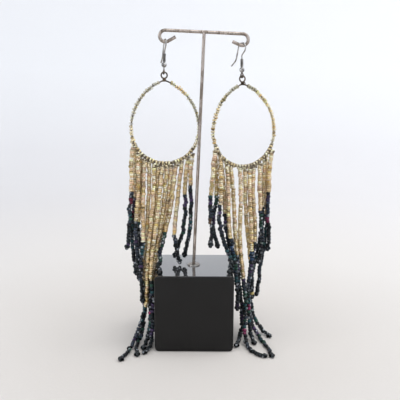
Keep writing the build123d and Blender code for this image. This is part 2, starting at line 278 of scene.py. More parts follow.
@dataclass(frozen=True)
class DrawnMetal:
    """Metal wire with draw marks, small dull patches and a little wear.

    Below a given height, where that isn't 0, the metal's colour turns darker brown.
    """

    name: str
    bright: Colour
    dull: Colour
    rough: Span = (0.2, 0.4)
    patch: float = 2.0 * MM
    edge: Colour = (0.40, 0.37, 0.35)
    low_brown: Colour = (0.13, 0.10, 0.075)
    brown_below: float = 0.0
    brown_fade: float = 1.2 * MM

    def make(self) -> bpy.types.Material:
        """Builds the material.

        Returns:
            The finished material.
        """
        recipe = Recipe(self.name)
        patches = recipe.grain(self.patch, stretch=(1.0, 1.0, 0.4), detail=5.0)
        tone = recipe.ramp(patches, [(0.38, self.dull), (0.60, self.bright)])
        # Darker brown colour below the given height.
        if self.brown_below:
            height = recipe.add("ShaderNodeSeparateXYZ")
            recipe.link(recipe.place, height.inputs["Vector"])
            low = recipe.span(height.outputs["Z"], self.brown_below - self.brown_fade,
                              self.brown_below, 0.9, 0.0)
            tone = recipe.blend(low, tone, self.low_brown)
        recipe.colour(tone)
        recipe.roughness(recipe.span(patches, 0.3, 0.7, self.rough[1], self.rough[0]))
        marks = recipe.grain(0.12 * MM, stretch=(1.0, 1.0, 0.12), detail=3.0)
        recipe.bump(marks, 0.01 * MM, 0.35)
        recipe.fix(Metallic=1.0, Specular_Tint=self.edge)
        return recipe.material


@dataclass(frozen=True)
class LinedGlass:
    """Glass seed beads with a metal lining showing through, painted shade and painted highlights.
    """

    name: str
    clear: float = 0.0
    metal: float = 0.7
    rough: Span = (0.14, 0.34)
    rim_shade: Colour = (0.11, 0.065, 0.025)
    rim_shade_share: float = 0.45
    glint: Colour = (1.0, 0.95, 0.78)
    contrast: float = 0.85
    spark: float = 1.0
    index: float = 1.5
    edge: Colour = (0.40, 0.28, 0.13)
    coat: float = 0.12

    def make(self) -> bpy.types.Material:
        """Builds the material.

        Returns:
            The finished material.
        """
        recipe = Recipe(self.name)
        own = recipe.attribute("bead_colour").outputs["Color"]
        rim = recipe.attribute("bead_rim").outputs["Fac"]
        spark = recipe.attribute("bead_spark").outputs["Fac"]
        streaks = recipe.grain(0.5 * MM, stretch=(1.2, 1.2, 0.6), detail=4.0)
        # Painted highlights: the glint colour at the sparks and in streaks. Painted shade: the
        # rim colour in streaks and at the rims and hole.
        spark_highlight = recipe.blend(recipe.span(spark, 0.25, 0.75, 0.0, self.spark), own, self.glint)
        lit = recipe.blend(recipe.span(streaks, 0.52, 0.64, 0.0, self.contrast), spark_highlight,
                           self.glint)
        streak_shade = recipe.blend(recipe.span(streaks, 0.47, 0.35, 0.0, self.contrast), lit,
                            self.rim_shade)
        recipe.colour(recipe.blend(recipe.span(rim, 0.25, 1.0, 0.0, self.rim_shade_share), streak_shade,
                                   self.rim_shade))
        recipe.roughness(recipe.span(streaks, 0.3, 0.7, self.rough[1], self.rough[0]))
        recipe.bump(streaks, 0.06 * MM, 0.4)
        recipe.fix(Metallic=self.metal, Transmission_Weight=self.clear, IOR=self.index,
                   Specular_Tint=self.edge, Coat_Weight=self.coat, Coat_Roughness=0.08)
        return recipe.material


@dataclass(frozen=True)
class IrisGlass:
    """Dark glass beads with an iris coat from blue to green and violet, painted shade and
    highlights.
    """

    hues: tuple[tuple[float, Colour], ...] = (
        (0.36, (0.030, 0.037, 0.054)), (0.45, (0.020, 0.056, 0.060)),
        (0.53, (0.025, 0.025, 0.025)), (0.60, (0.025, 0.025, 0.025)),
        (0.68, (0.062, 0.032, 0.074)))
    glint: Colour = (0.50, 0.53, 0.57)
    rim_shade_black: Colour = (0.003, 0.003, 0.003)
    edge: Colour = (0.55, 0.57, 0.61)

    def make(self) -> bpy.types.Material:
        """Builds the material.

        Returns:
            The finished material.
        """
        recipe = Recipe("iris_glass")
        own = recipe.attribute("bead_colour").outputs["Color"]
        rim = recipe.attribute("bead_rim").outputs["Fac"]
        spark = recipe.attribute("bead_spark").outputs["Fac"]
        hue = recipe.ramp(recipe.grain(1.6 * MM, detail=3.0), self.hues)
        # Painted shade: the rims and hole are blackened.
        coat = recipe.blend(recipe.span(rim, 0.2, 0.8, 0.0, 0.9), recipe.blend(0.3, own, hue),
                            self.rim_shade_black)
        wear_and_glint = recipe.grain(0.4 * MM, detail=3.0)
        # Painted highlights: at each bead's sparks, patches of the glint colour.
        patchy_glint = recipe.blend(recipe.span(wear_and_glint, 0.36, 0.54, 0.0, 1.0), coat, self.glint)
        recipe.colour(recipe.blend(recipe.span(spark, 0.25, 0.75, 0.0, 0.85), coat, patchy_glint))
        recipe.roughness(recipe.span(wear_and_glint, 0.3, 0.7, 0.16, 0.34))
        # Painted shade in the reflection: less specular towards the rims and hole.
        recipe.link(recipe.span(rim, 0.2, 0.8, 0.5, 0.06),
                    recipe.shader.inputs["Specular IOR Level"])
        recipe.bump(wear_and_glint, 0.04 * MM, 0.35)
        recipe.fix(Metallic=0.3, IOR=1.5, Specular_Tint=self.edge)
        return recipe.material


@dataclass(frozen=True)
class Thread:
    """Fine twisted nylon beading thread."""

    name: str = "beading_thread"
    light: Colour = (0.55, 0.46, 0.33)
    dark: Colour = (0.30, 0.23, 0.15)

    def make(self) -> bpy.types.Material:
        """Builds the material.

        Returns:
            The finished material.
        """
        recipe = Recipe(self.name)
        twist = recipe.grain(0.1 * MM, stretch=(1.0, 1.0, 1.6), detail=2.0)
        recipe.colour(recipe.ramp(twist, [(0.35, self.dark), (0.6, self.light)]))
        recipe.bump(twist, 0.02 * MM, 0.5)
        recipe.fix(Roughness=0.6, Sheen_Weight=0.2)
        return recipe.material


@dataclass(frozen=True)
class StudioPaper:
    """Pale sweep with a paper grain, with painted light and shade graded across it.

    tones holds its colours by their distance from the middle of the floor in metres: darker
    and warmer round the stand, lighter and cooler away from it.
    """

    tones: tuple[tuple[float, Colour], ...] = (
        (0.08, (0.650, 0.617, 0.583)), (0.20, (0.710, 0.685, 0.660)),
        (0.48, (0.750, 0.735, 0.735)), (0.72, (0.770, 0.768, 0.785)),
        (0.90, (0.845, 0.857, 0.880)))
    fibre_dark: Colour = (0.45, 0.42, 0.40)

    def make(self) -> bpy.types.Material:
        """Builds the material.

        Returns:
            The finished material.
        """
        recipe = Recipe("studio_paper")
        # Painted light and shade: the colour is graded by distance from the middle.
        reach = recipe.add("ShaderNodeVectorMath", operation="LENGTH")
        recipe.link(recipe.place, reach.inputs[0])
        tone = recipe.ramp(reach.outputs["Value"], self.tones)
        fibre = recipe.grain(1.6 * MM, detail=5.0)
        recipe.colour(recipe.blend(recipe.span(fibre, 0.3, 0.7, 0.06, 0.0), tone,
                                   self.fibre_dark))
        recipe.bump(fibre, 0.15 * MM, 0.35)
        recipe.fix(Roughness=0.85)
        return recipe.material


class BeadColour(Enum):
    """The bead colours of the fringe and hoop, as linear colours."""

    CLEAR = (0.93, 0.82, 0.55)
    STRAW = (0.85, 0.68, 0.34)
    CHAMPAGNE = (0.82, 0.61, 0.34)
    TAN = (0.66, 0.48, 0.25)
    OLIVE = (0.56, 0.44, 0.17)
    AMBER = (0.70, 0.46, 0.15)
    ROSE = (0.80, 0.55, 0.38)
    BRONZE = (0.16, 0.09, 0.05)
    GLASS = (0.99, 0.94, 0.72)
    STRAW_GLASS = (0.97, 0.85, 0.48)
    HONEY = (0.80, 0.54, 0.20)
    MIDNIGHT = (0.036, 0.044, 0.062)
    TEAL = (0.024, 0.080, 0.090)
    GREEN = (0.032, 0.092, 0.060)
    BLUE = (0.028, 0.062, 0.130)
    VIOLET = (0.076, 0.046, 0.112)
    WINE = (0.130, 0.018, 0.036)
    MAGENTA = (0.250, 0.035, 0.100)
    JET = (0.014, 0.014, 0.0145)


PALE_GOLD = (BeadColour.CHAMPAGNE, BeadColour.STRAW, BeadColour.ROSE, BeadColour.CHAMPAGNE,
             BeadColour.ROSE, BeadColour.CLEAR)
DEEP_GOLD = (BeadColour.TAN, BeadColour.CHAMPAGNE, BeadColour.OLIVE, BeadColour.STRAW,
             BeadColour.ROSE, BeadColour.TAN, BeadColour.AMBER)
BLUE_GREEN = (BeadColour.TEAL, BeadColour.MIDNIGHT, BeadColour.GREEN)
CLEAR_GLASS = (BeadColour.GLASS, BeadColour.STRAW_GLASS, BeadColour.GLASS)
LINED_PALE = (BeadColour.STRAW, BeadColour.CLEAR)
Stretch = tuple[float, float, BeadColour]


class Part(Enum):
    """Material slots of a beaded piece."""

    GOLD = 0
    DARK = 1
    THREAD = 2
    GLASS = 3
    WRAP = 4


# Meshes


def smooth_outward(bm: bmesh.types.BMesh) -> None:
    """Turns a mesh's normals outwards and shades it smooth.

    Args:
        bm: The mesh.
    """
    bmesh.ops.recalc_face_normals(bm, faces=bm.faces)
    for face in bm.faces:
        face.smooth = True


def finish_piece(bm: bmesh.types.BMesh, name: str,
                 materials: Sequence[bpy.types.Material]) -> bpy.types.Object:
    """Turns a bmesh into a piece at the origin.

    Args:
        bm: The mesh so far, in place and in metres. It is freed.
        name: The piece's name.
        materials: Its material slots.

    Returns:
        The piece.
    """
    mesh = bpy.data.meshes.new(name)
    bm.to_mesh(mesh)
    bm.free()
    for material in materials:
        mesh.materials.append(material)
    piece = bpy.data.objects.new(name, mesh)
    bpy.context.scene.collection.objects.link(piece)
    return piece


@dataclass(frozen=True)
class WireCoil:
    """A round wire wound round Z, with closed ends.

    reach is from the axis to the wire's middle, low the height of its start and rise how far
    it climbs in all its steps.
    """

    thick: float
    reach: float
    low: float
    turns: float
    rise: float
    steps: int
    sides: int = 8

    def build(self, name: str, origin: Vector, axes: Sequence[Vector],
              material: bpy.types.Material) -> bpy.types.Object:
        """Winds the wire.

        Args:
            name: The piece's name.
            origin: Where the middle of its foot goes.
            axes: Where its X, Y and Z point.
            material: The wire's finish.

        Returns:
            The coil.
        """
        bm = bmesh.new()
        ring = bmesh.ops.create_circle(bm, segments=self.sides, radius=self.thick / 2)["verts"]
        bmesh.ops.rotate(bm, verts=ring, matrix=Matrix.Rotation(pi / 2, 3, "X"))
        bmesh.ops.translate(bm, verts=ring, vec=(self.reach, 0.0, self.low))
        bmesh.ops.spin(bm, geom=bm.verts[:] + bm.edges[:], cent=Vector(), axis=UP,
                       dvec=(0.0, 0.0, self.rise / self.steps), angle=2 * pi * self.turns,
                       steps=self.steps)
        bmesh.ops.remove_doubles(bm, verts=bm.verts, dist=self.thick / 1000)
        open_edges = [edge for edge in bm.edges if edge.is_boundary]
        bmesh.ops.holes_fill(bm, edges=open_edges, sides=self.sides)
        smooth_outward(bm)
        place = Matrix(axes).transposed().to_4x4()
        bmesh.ops.transform(bm, verts=bm.verts, matrix=Matrix.Translation(origin) @ place)
        return finish_piece(bm, name, [material])


# Beads


@dataclass(frozen=True)
class BeadForm:
    """A built bead, and for each of its vertices how near it is to a rim and to a spark."""

    mesh: bpy.types.Mesh
    rims: tuple[float, ...]
    sparks: tuple[float, ...]
    long: float


@dataclass
class SeedBead:
    """A seed bead: a short rounded tube of glass with its hole along Z.

    shoulder is where its ends turn round, and flat how far its side runs straight, both as
    shares. dish is how deep its ends dip to the hole. spark holds the turn, in radians, where
    its side gets a painted highlight. Vertices nearer to the axis than inside are in the hole,
    and past outside on the side, as shares of the radius, and between them their rim is
    part_rim. The rim marks where painted shade darkens the bead.
    """

    wide: float
    long: float
    shoulder: float
    flat: float
    dish: float = 0.86
    hole: float = 0.8 * MM
    sides: int = 12
    spark: Span = (0.4, 1.2)
    inside: float = 0.5
    outside: float = 0.95
    part_rim: float = 0.75

    def rim_of(self, reach: float) -> float:
        """Finds how near a vertex is to the bead's rim.

        Args:
            reach: Its distance from the hole's middle, as a share of the bead's radius.

        Returns:
            1 inside the hole, less on the shoulder and 0 on the side.
        """
        if reach < self.inside:
            return 1.0
        return self.part_rim if reach < self.outside else 0.0

    def build(self) -> BeadForm:
        """Builds the bead that rows repeat.

        Returns:
            The bead.
        """
        half, outer, inner = self.long / 2, self.wide / 2, self.hole / 2
        upper = [(inner, half * self.dish), (outer * self.shoulder, half),
                 (outer, half * self.flat)]
        profile = [(radius, -z) for radius, z in upper] + upper[::-1]
        bm = bmesh.new()
        ring = [bm.verts.new((radius, 0.0, z)) for radius, z in profile]
        edges = [bm.edges.new(pair) for pair in zip(ring, ring[1:] + ring[:1])]
        bmesh.ops.spin(bm, geom=ring + edges, cent=Vector(), axis=UP, angle=2 * pi,
                       steps=self.sides, use_merge=True)
        bmesh.ops.remove_doubles(bm, verts=bm.verts, dist=self.wide / 1000)
        smooth_outward(bm)
        mesh = bpy.data.meshes.new("seed_bead")
        bm.to_mesh(mesh)
        bm.free()
        # The rims mark where painted shade goes and the sparks where painted highlights go.
        rims, sparks = [], []
        for vertex in mesh.vertices:
            rim = self.rim_of(vertex.co.xy.length / outer)
            turn = atan2(vertex.co.y, vertex.co.x) % pi
            rims.append(rim)
            sparks.append(1.0 if rim == 0.0 and self.spark[0] < turn < self.spark[1] else 0.0)
        return BeadForm(mesh, tuple(rims), tuple(sparks), self.long)


@dataclass
class BeadForms:
    """The two beads of the earrings: short gold-lined ones and rounder dark ones."""

    pale: BeadForm = field(default_factory=SeedBead(2.5 * MM, 1.15 * MM, 0.82, 0.5).build)
    dark: BeadForm = field(default_factory=SeedBead(2.5 * MM, 1.9 * MM, 0.74, 0.46).build)

    def of(self, part: Part) -> BeadForm:
        """Returns the bead of a material slot."""
        return self.dark if part is Part.DARK else self.pale

    def clear(self) -> None:
        """Removes the beads that were repeated."""
        for form in (self.pale, self.dark):
            bpy.data.meshes.remove(form.mesh)


class BeadRow:
    """Many beads and their thread, gathered in one mesh.

    girth and length are the spans of a bead's size against the usual one, and stout is how
    much less a small bead is shortened than narrowed. light_spread and dimmest tell how a
    bead's own lightness varies at random. flashes is the span of its painted highlight's
    strength, where below 0 there is none, and past gleam_from the whole bead is painted
    lighter, as a painted highlight.
    """

    most_lean: float = 24.0
    stout: float = 0.1
    girth: Span = (0.9, 1.06)
    length: Span = (0.9, 1.1)
    light_spread: float = 0.24
    dimmest: float = 0.4
    flashes: Span = (-0.5, 1.0)
    gleam_from: float = 0.88
    gleam_light: float = 1.6

    def __init__(self, forms: BeadForms, seed: int, light: float = 1.0) -> None:
        """Starts an empty row.

        Args:
            forms: The beads to repeat.
            seed: Seed of the row's small irregularities.
            light: Painted light and shade: how light its beads are against their usual colours.
        """
        self.forms = forms
        self.light = light
        self.chance = Random(seed)
        self.bm = bmesh.new()
        self.bm.verts.layers.float_color.new("bead_colour")
        self.bm.verts.layers.float.new("bead_rim")
        self.bm.verts.layers.float.new("bead_spark")

    def add_bead(self, centre: Vector, along: Vector, colour: BeadColour, part: Part,
                 wide: float, lean: float, vary: float = 1.0) -> None:
        """Threads one bead.

        Args:
            centre: The bead's middle.
            along: Direction of its hole.
            colour: Its own colour.
            part: Its material slot.
            wide: Its size against the usual bead.
            lean: Spread of its lean off the thread in degrees.
            vary: How much its light may differ from its neighbours'.
        """
        chance = self.chance
        turn = along.to_track_quat("Z", "Y").to_matrix().to_4x4()
        roll = Matrix.Rotation(chance.uniform(0, 2 * pi), 4, "Z")
        leaned = max(-self.most_lean, min(self.most_lean, chance.gauss(0, lean)))
        tip = Matrix.Rotation(radians(leaned), 4, "X")
        girth = wide * chance.uniform(*self.girth)
        length = min(wide + self.stout, 1.0) * chance.uniform(*self.length)
        size = Matrix.Diagonal((girth, girth, length, 1.0))
        first, first_face = len(self.bm.verts), len(self.bm.faces)
        form = self.forms.of(part)
        self.bm.from_mesh(form.mesh)
        self.bm.verts.ensure_lookup_table()
        self.bm.faces.ensure_lookup_table()
        fresh = self.bm.verts[first:]
        bmesh.ops.transform(self.bm, verts=fresh,
                            matrix=Matrix.Translation(centre) @ turn @ roll @ tip @ size)
        tint = self.bm.verts.layers.float_color["bead_colour"]
        rim = self.bm.verts.layers.float["bead_rim"]
        spark = self.bm.verts.layers.float["bead_spark"]
        light = self.light * max(self.dimmest, 1.0 + vary * chance.gauss(0, self.light_spread))
        # Painted highlight: flash lights the bead's sparks, and a strong one paints the whole
        # bead lighter.
        flash = max(0.0, chance.uniform(*self.flashes))
        gleam = self.gleam_light if flash > self.gleam_from else 1.0
        own = (*(min(c * light * gleam, 1.0) for c in colour.value), 1.0)
        for vertex, near_rim, near_spark in zip(fresh, form.rims, form.sparks):
            vertex[tint], vertex[rim], vertex[spark] = own, near_rim, flash * near_spark
        for face in self.bm.faces[first_face:]:
            face.material_index = part.value

    def add_thread(self, points: Sequence[Vector], thick: float, part: Part) -> None:
        """Lays a thread along points.

        Args:
            points: Control points of the thread's line.
            thick: Its diameter.
            part: Its material slot.
        """
        mesh = ThreadLine(points).tube(thick)
        first = len(self.bm.faces)
        self.bm.from_mesh(mesh)
        bpy.data.meshes.remove(mesh)
        self.bm.faces.ensure_lookup_table()
        for face in self.bm.faces[first:]:
            face.material_index = part.value
            face.smooth = True

    def finish(self, name: str, materials: Sequence[bpy.types.Material]) -> bpy.types.Object:
        """Makes the row an object.

        Args:
            name: The piece's name.
            materials: Its materials in the order of Part.

        Returns:
            The piece.
        """
        return finish_piece(self.bm, name, materials)


class ThreadLine:
    """The smooth line of a thread, a NURBS spline on its control points.

    fine and coarse are the steps from one control point to the next, for the places of beads
    and for the thread's own mesh.
    """

    fine: int = 8
    coarse: int = 4

    def __init__(self, points: Sequence[Vector]) -> None:
        """Reads the line of a route.

        Args:
            points: Control points from one end to the other.
        """
        self.curve = bpy.data.curves.new("thread_line", "CURVE")
        self.curve.dimensions = "3D"
        self.curve.resolution_u = self.fine
        spline = self.curve.splines.new("NURBS")
        spline.points.add(len(points) - 1)
        for knot, point in zip(spline.points, points):
            knot.co = (*point, 1.0)
        spline.order_u = 3
        spline.use_endpoint_u = True
        mesh = self.mesh()
        self.points = [v.co.copy() for v in mesh.vertices]
        bpy.data.meshes.remove(mesh)
        self.reach = [0.0]
        for start, end in zip(self.points, self.points[1:]):
            self.reach.append(self.reach[-1] + (end - start).length)
        self.length = self.reach[-1]

    def mesh(self) -> bpy.types.Mesh:
        """Turns the curve into a mesh.

        Returns:
            The mesh.
        """
        carrier = bpy.data.objects.new("thread_carrier", self.curve)
        mesh = bpy.data.meshes.new_from_object(carrier)
        bpy.data.objects.remove(carrier)
        return mesh

    def tube(self, thick: float) -> bpy.types.Mesh:
        """Makes a round thread along the line.

        Args:
            thick: The thread's diameter.

        Returns:
            The thread's mesh.
        """
        self.curve.resolution_u = self.coarse
        self.curve.bevel_depth = thick / 2
        self.curve.bevel_resolution = 1
        self.curve.use_fill_caps = True
        return self.mesh()

    def at(self, distance: float) -> tuple[Vector, Vector]:
        """Finds a place on the line.

        Args:
            distance: How far along from the first end.

        Returns:
            The place and the line's direction there.
        """
        index = min(max(bisect_right(self.reach, distance) - 1, 0), len(self.points) - 2)
        start, end = self.points[index], self.points[index + 1]
        run = self.reach[index + 1] - self.reach[index]
        return start.lerp(end, (distance - self.reach[index]) / run), (end - start).normalized()


# How the earrings hang


def flat_dir(turn: float) -> Vector:
    """Returns the level unit vector turned from +X by some degrees."""
    return Vector((cos(radians(turn)), sin(radians(turn)), 0.0))


@dataclass(frozen=True)
class CrossBar:
    """The stand's crossbar, where the ear wires hang."""

    rod_foot: Vector = field(default_factory=lambda: Vector((-0.5, 0, 45)) * MM)
    rod_top: Vector = field(default_factory=lambda: Vector((4.9, 0, 179.5)) * MM)
    wire: float = 1.8 * MM
    straight: float = 21.6 * MM
    bend: float = 3.15 * MM

    def cradle(self, side: int) -> Vector:
        """Finds the lowest point of an end bend.

        Args:
            side: -1 for the left end and 1 for the right.

        Returns:
            The point on the bar's centreline.
        """
        rod_up = (self.rod_top - self.rod_foot).normalized()
        out = Vector((rod_up.z, 0.0, -rod_up.x))
        middle = self.rod_top + out * (side * self.straight) - rod_up * self.bend
        return middle - UP * self.bend


@dataclass(frozen=True)
class Hang:
    """How one earring hangs from the bar, with the sizes that place its parts.

    side is -1 for the bar's left end and 1 for its right one. The turns are about the vertical
    and the leans to the side, both in degrees. slide is how far the eye ring sits off the
    middle of the ear wire's loop. The stem, the loop and the coil's top are placed by u,
    towards the tail, and w, up from the top of the bend.
    """

    side: int
    hook_turn: float
    hook_lean: float
    slide: float
    hoop_turn: float
    hoop_lean: float
    coil_w: float
    bar: CrossBar = field(default_factory=CrossBar)
    gap: float = 0.1 * MM
    loop_gap: float = 0.15 * MM
    hook_wire: float = 0.8 * MM
    hoop_wire: float = 0.8 * MM
    stem_u: float = 0.7 * MM
    loop_w: float = -17.75 * MM
    loop_radius: float = 1.1 * MM
    eye_radius: float = 1.7 * MM
    neck: float = 1.0 * MM
    hoop_high: float = 27.5 * MM

    def hook_axes(self) -> tuple[Vector, Vector]:
        """Finds how the ear wire stands.

        Returns:
            Its direction to the tail and its own way up.
        """
        lean = radians(self.hook_lean)
        up = UP * cos(lean) + flat_dir(self.hook_turn) * sin(lean)
        return flat_dir(self.hook_turn + 90), up

    def hook_point(self, u: float, w: float) -> Vector:
        """Finds a point in the ear wire's plane.

        Args:
            u: Distance towards the tail.
            w: Distance up from the top of the bend.

        Returns:
            The point.
        """
        tail, up = self.hook_axes()
        lift = self.bar.wire / 2 + self.gap + self.hook_wire / 2
        return self.bar.cradle(self.side) + UP * lift + tail * u + up * w

    def hoop_axes(self) -> tuple[Vector, Vector, Vector]:
        """Finds how the hoop hangs.

        Returns:
            Its direction to the right, its way up and its way back.
        """
        level, lean = flat_dir(self.hoop_turn), radians(self.hoop_lean)
        right = level * cos(lean) + UP * sin(lean)
        return right, UP * cos(lean) - level * sin(lean), flat_dir(self.hoop_turn + 90)

    def hoop_centre(self) -> Vector:
        """Finds the centre of the hoop's lower half circle.

        Returns:
            The centre.
        """
        loop = self.hook_point(self.stem_u, self.loop_w) - UP * self.loop_radius
        rest = loop + UP * ((self.hook_wire + self.hoop_wire) / 2 + self.loop_gap)
        drop = sqrt(self.eye_radius ** 2 - self.slide ** 2)
        eye = rest + flat_dir(self.hoop_turn) * self.slide - UP * drop
        return eye - self.hoop_axes()[1] * (self.eye_radius + self.neck + self.hoop_high)


@dataclass
class HoopLine:
    """The hoop's pointed outline: a half circle below and two flatter arcs up to the peak.

    bare is the wire's length without beads next to the peak, on either side.
    """

    hang: Hang
    radius: float = 19.5 * MM
    bare: float = 2.8 * MM

    def __post_init__(self) -> None:
        """Works out the upper arcs from the hoop's height."""
        high = self.hang.hoop_high
        self.offset = (high ** 2 - self.radius ** 2) / (2 * self.radius)
        self.upper = self.radius + self.offset
        self.quarter = pi * self.radius / 2
        self.half = self.quarter + self.upper * atan2(high, self.offset) - self.bare
        self.centre = self.hang.hoop_centre()
        self.right, self.up, self.back = self.hang.hoop_axes()

    def at(self, distance: float) -> tuple[Vector, Vector]:
        """Finds a place on the hoop.

        Args:
            distance: How far from the lowest point, to the left below 0.

        Returns:
            The place and the wire's direction there.
        """
        if abs(distance) <= self.quarter:
            angle = distance / self.radius
            flat = Vector((sin(angle), -cos(angle))) * self.radius
            way = Vector((cos(angle), sin(angle)))
        else:
            hand = 1.0 if distance > 0 else -1.0
            angle = (abs(distance) - self.quarter) / self.upper
            flat = Vector((hand * (self.upper * cos(angle) - self.offset),
                           self.upper * sin(angle)))
            way = Vector((-sin(angle), hand * cos(angle)))
        return (self.centre + self.right * flat.x + self.up * flat.y,
                (self.right * way.x + self.up * way.y).normalized())


# Sub-assemblies


def dress_node(frame: dict, node: str, material: bpy.types.Material) -> None:
    """Gives a CAD node its material.

    Args:
        frame: The loaded frame.
        node: The node's name.
        material: Its new material.
    """
    carried = frame["nodes"][node]
    if not carried.material_slots:
        carried.data.materials.append(material)
    for slot in carried.material_slots:
        slot.material = material
    LOG.info("%s: CAD node in %s", node, material.name)


def report_piece(piece: bpy.types.Object, node: str | None) -> None:
    """Ties a finished piece to the frame and reports it.

    Args:
        piece: The piece.
        node: The CAD node it stands for, or None.
    """
    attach(piece, "root")
    if node:
        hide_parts(node)
    LOG.info("%s: %d faces, for %s", piece.name, len(piece.data.polygons), node or "nothing")


@dataclass
class Stand:
    """The black block, its collar and the T-shaped wire."""

    block: BlackAcrylic = field(default_factory=BlackAcrylic)
    wire: DrawnMetal = field(default_factory=lambda: DrawnMetal(
        "stand_wire", (0.49, 0.43, 0.385), (0.24, 0.20, 0.165), (0.18, 0.36),
        edge=(0.10, 0.08, 0.065)))
    collar: DrawnMetal = field(default_factory=lambda: DrawnMetal(
        "stand_collar", (0.62, 0.60, 0.58), (0.40, 0.38, 0.36), (0.22, 0.4)))

    def dress(self, frame: dict) -> None:
        """Gives the stand's CAD nodes their finishes.

        Args:
            frame: The loaded frame.
        """
        dress_node(frame, "stand_base", self.block.make())
        dress_node(frame, "stand_collar", self.collar.make())
        dress_node(frame, "stand_tee", self.wire.make())


@dataclass
class EarWire:
    """An ear wire with its coil and ball.

    wide, bore and long are the coil's sizes, spread its rise in a turn against its wire, and
    steps the straight pieces of a turn.
    """

    word: str
    hang: Hang
    wide: float = 1.7 * MM
    bore: float = 1.0 * MM
    long: float = 4.7 * MM
    spread: float = 1.04
    steps: int = 14

    def build_coil(self, material: bpy.types.Material) -> bpy.types.Object:
        """Winds the coil's wire round the stem.

        Args:
            material: The wire's finish.

        Returns:
            The coil.
        """
        thick = (self.wide - self.bore) / 2
        turns = (self.long - thick) / (thick * self.spread)
        coil = WireCoil(thick, reach=(self.bore + thick) / 2, low=thick / 2, turns=turns,
                        rise=self.long - thick, steps=round(turns * self.steps))
        tail, up = self.hang.hook_axes()
        foot = self.hang.hook_point(self.hang.stem_u, self.hang.coil_w - self.long)
        return coil.build(f"{self.word}_coil_turns", foot, (tail, up.cross(tail), up), material)

    def dress(self, frame: dict, finishes: "MetalFinishes") -> None:
        """Builds and dresses the ear wire.

        Args:
            frame: The loaded frame.
            finishes: The metals of the earrings.
        """
        dress_node(frame, f"{self.word}_ear_hook", finishes.hook)
        dress_node(frame, f"{self.word}_hook_ball", finishes.ball)
        report_piece(self.build_coil(finishes.coil), f"{self.word}_hook_coil")


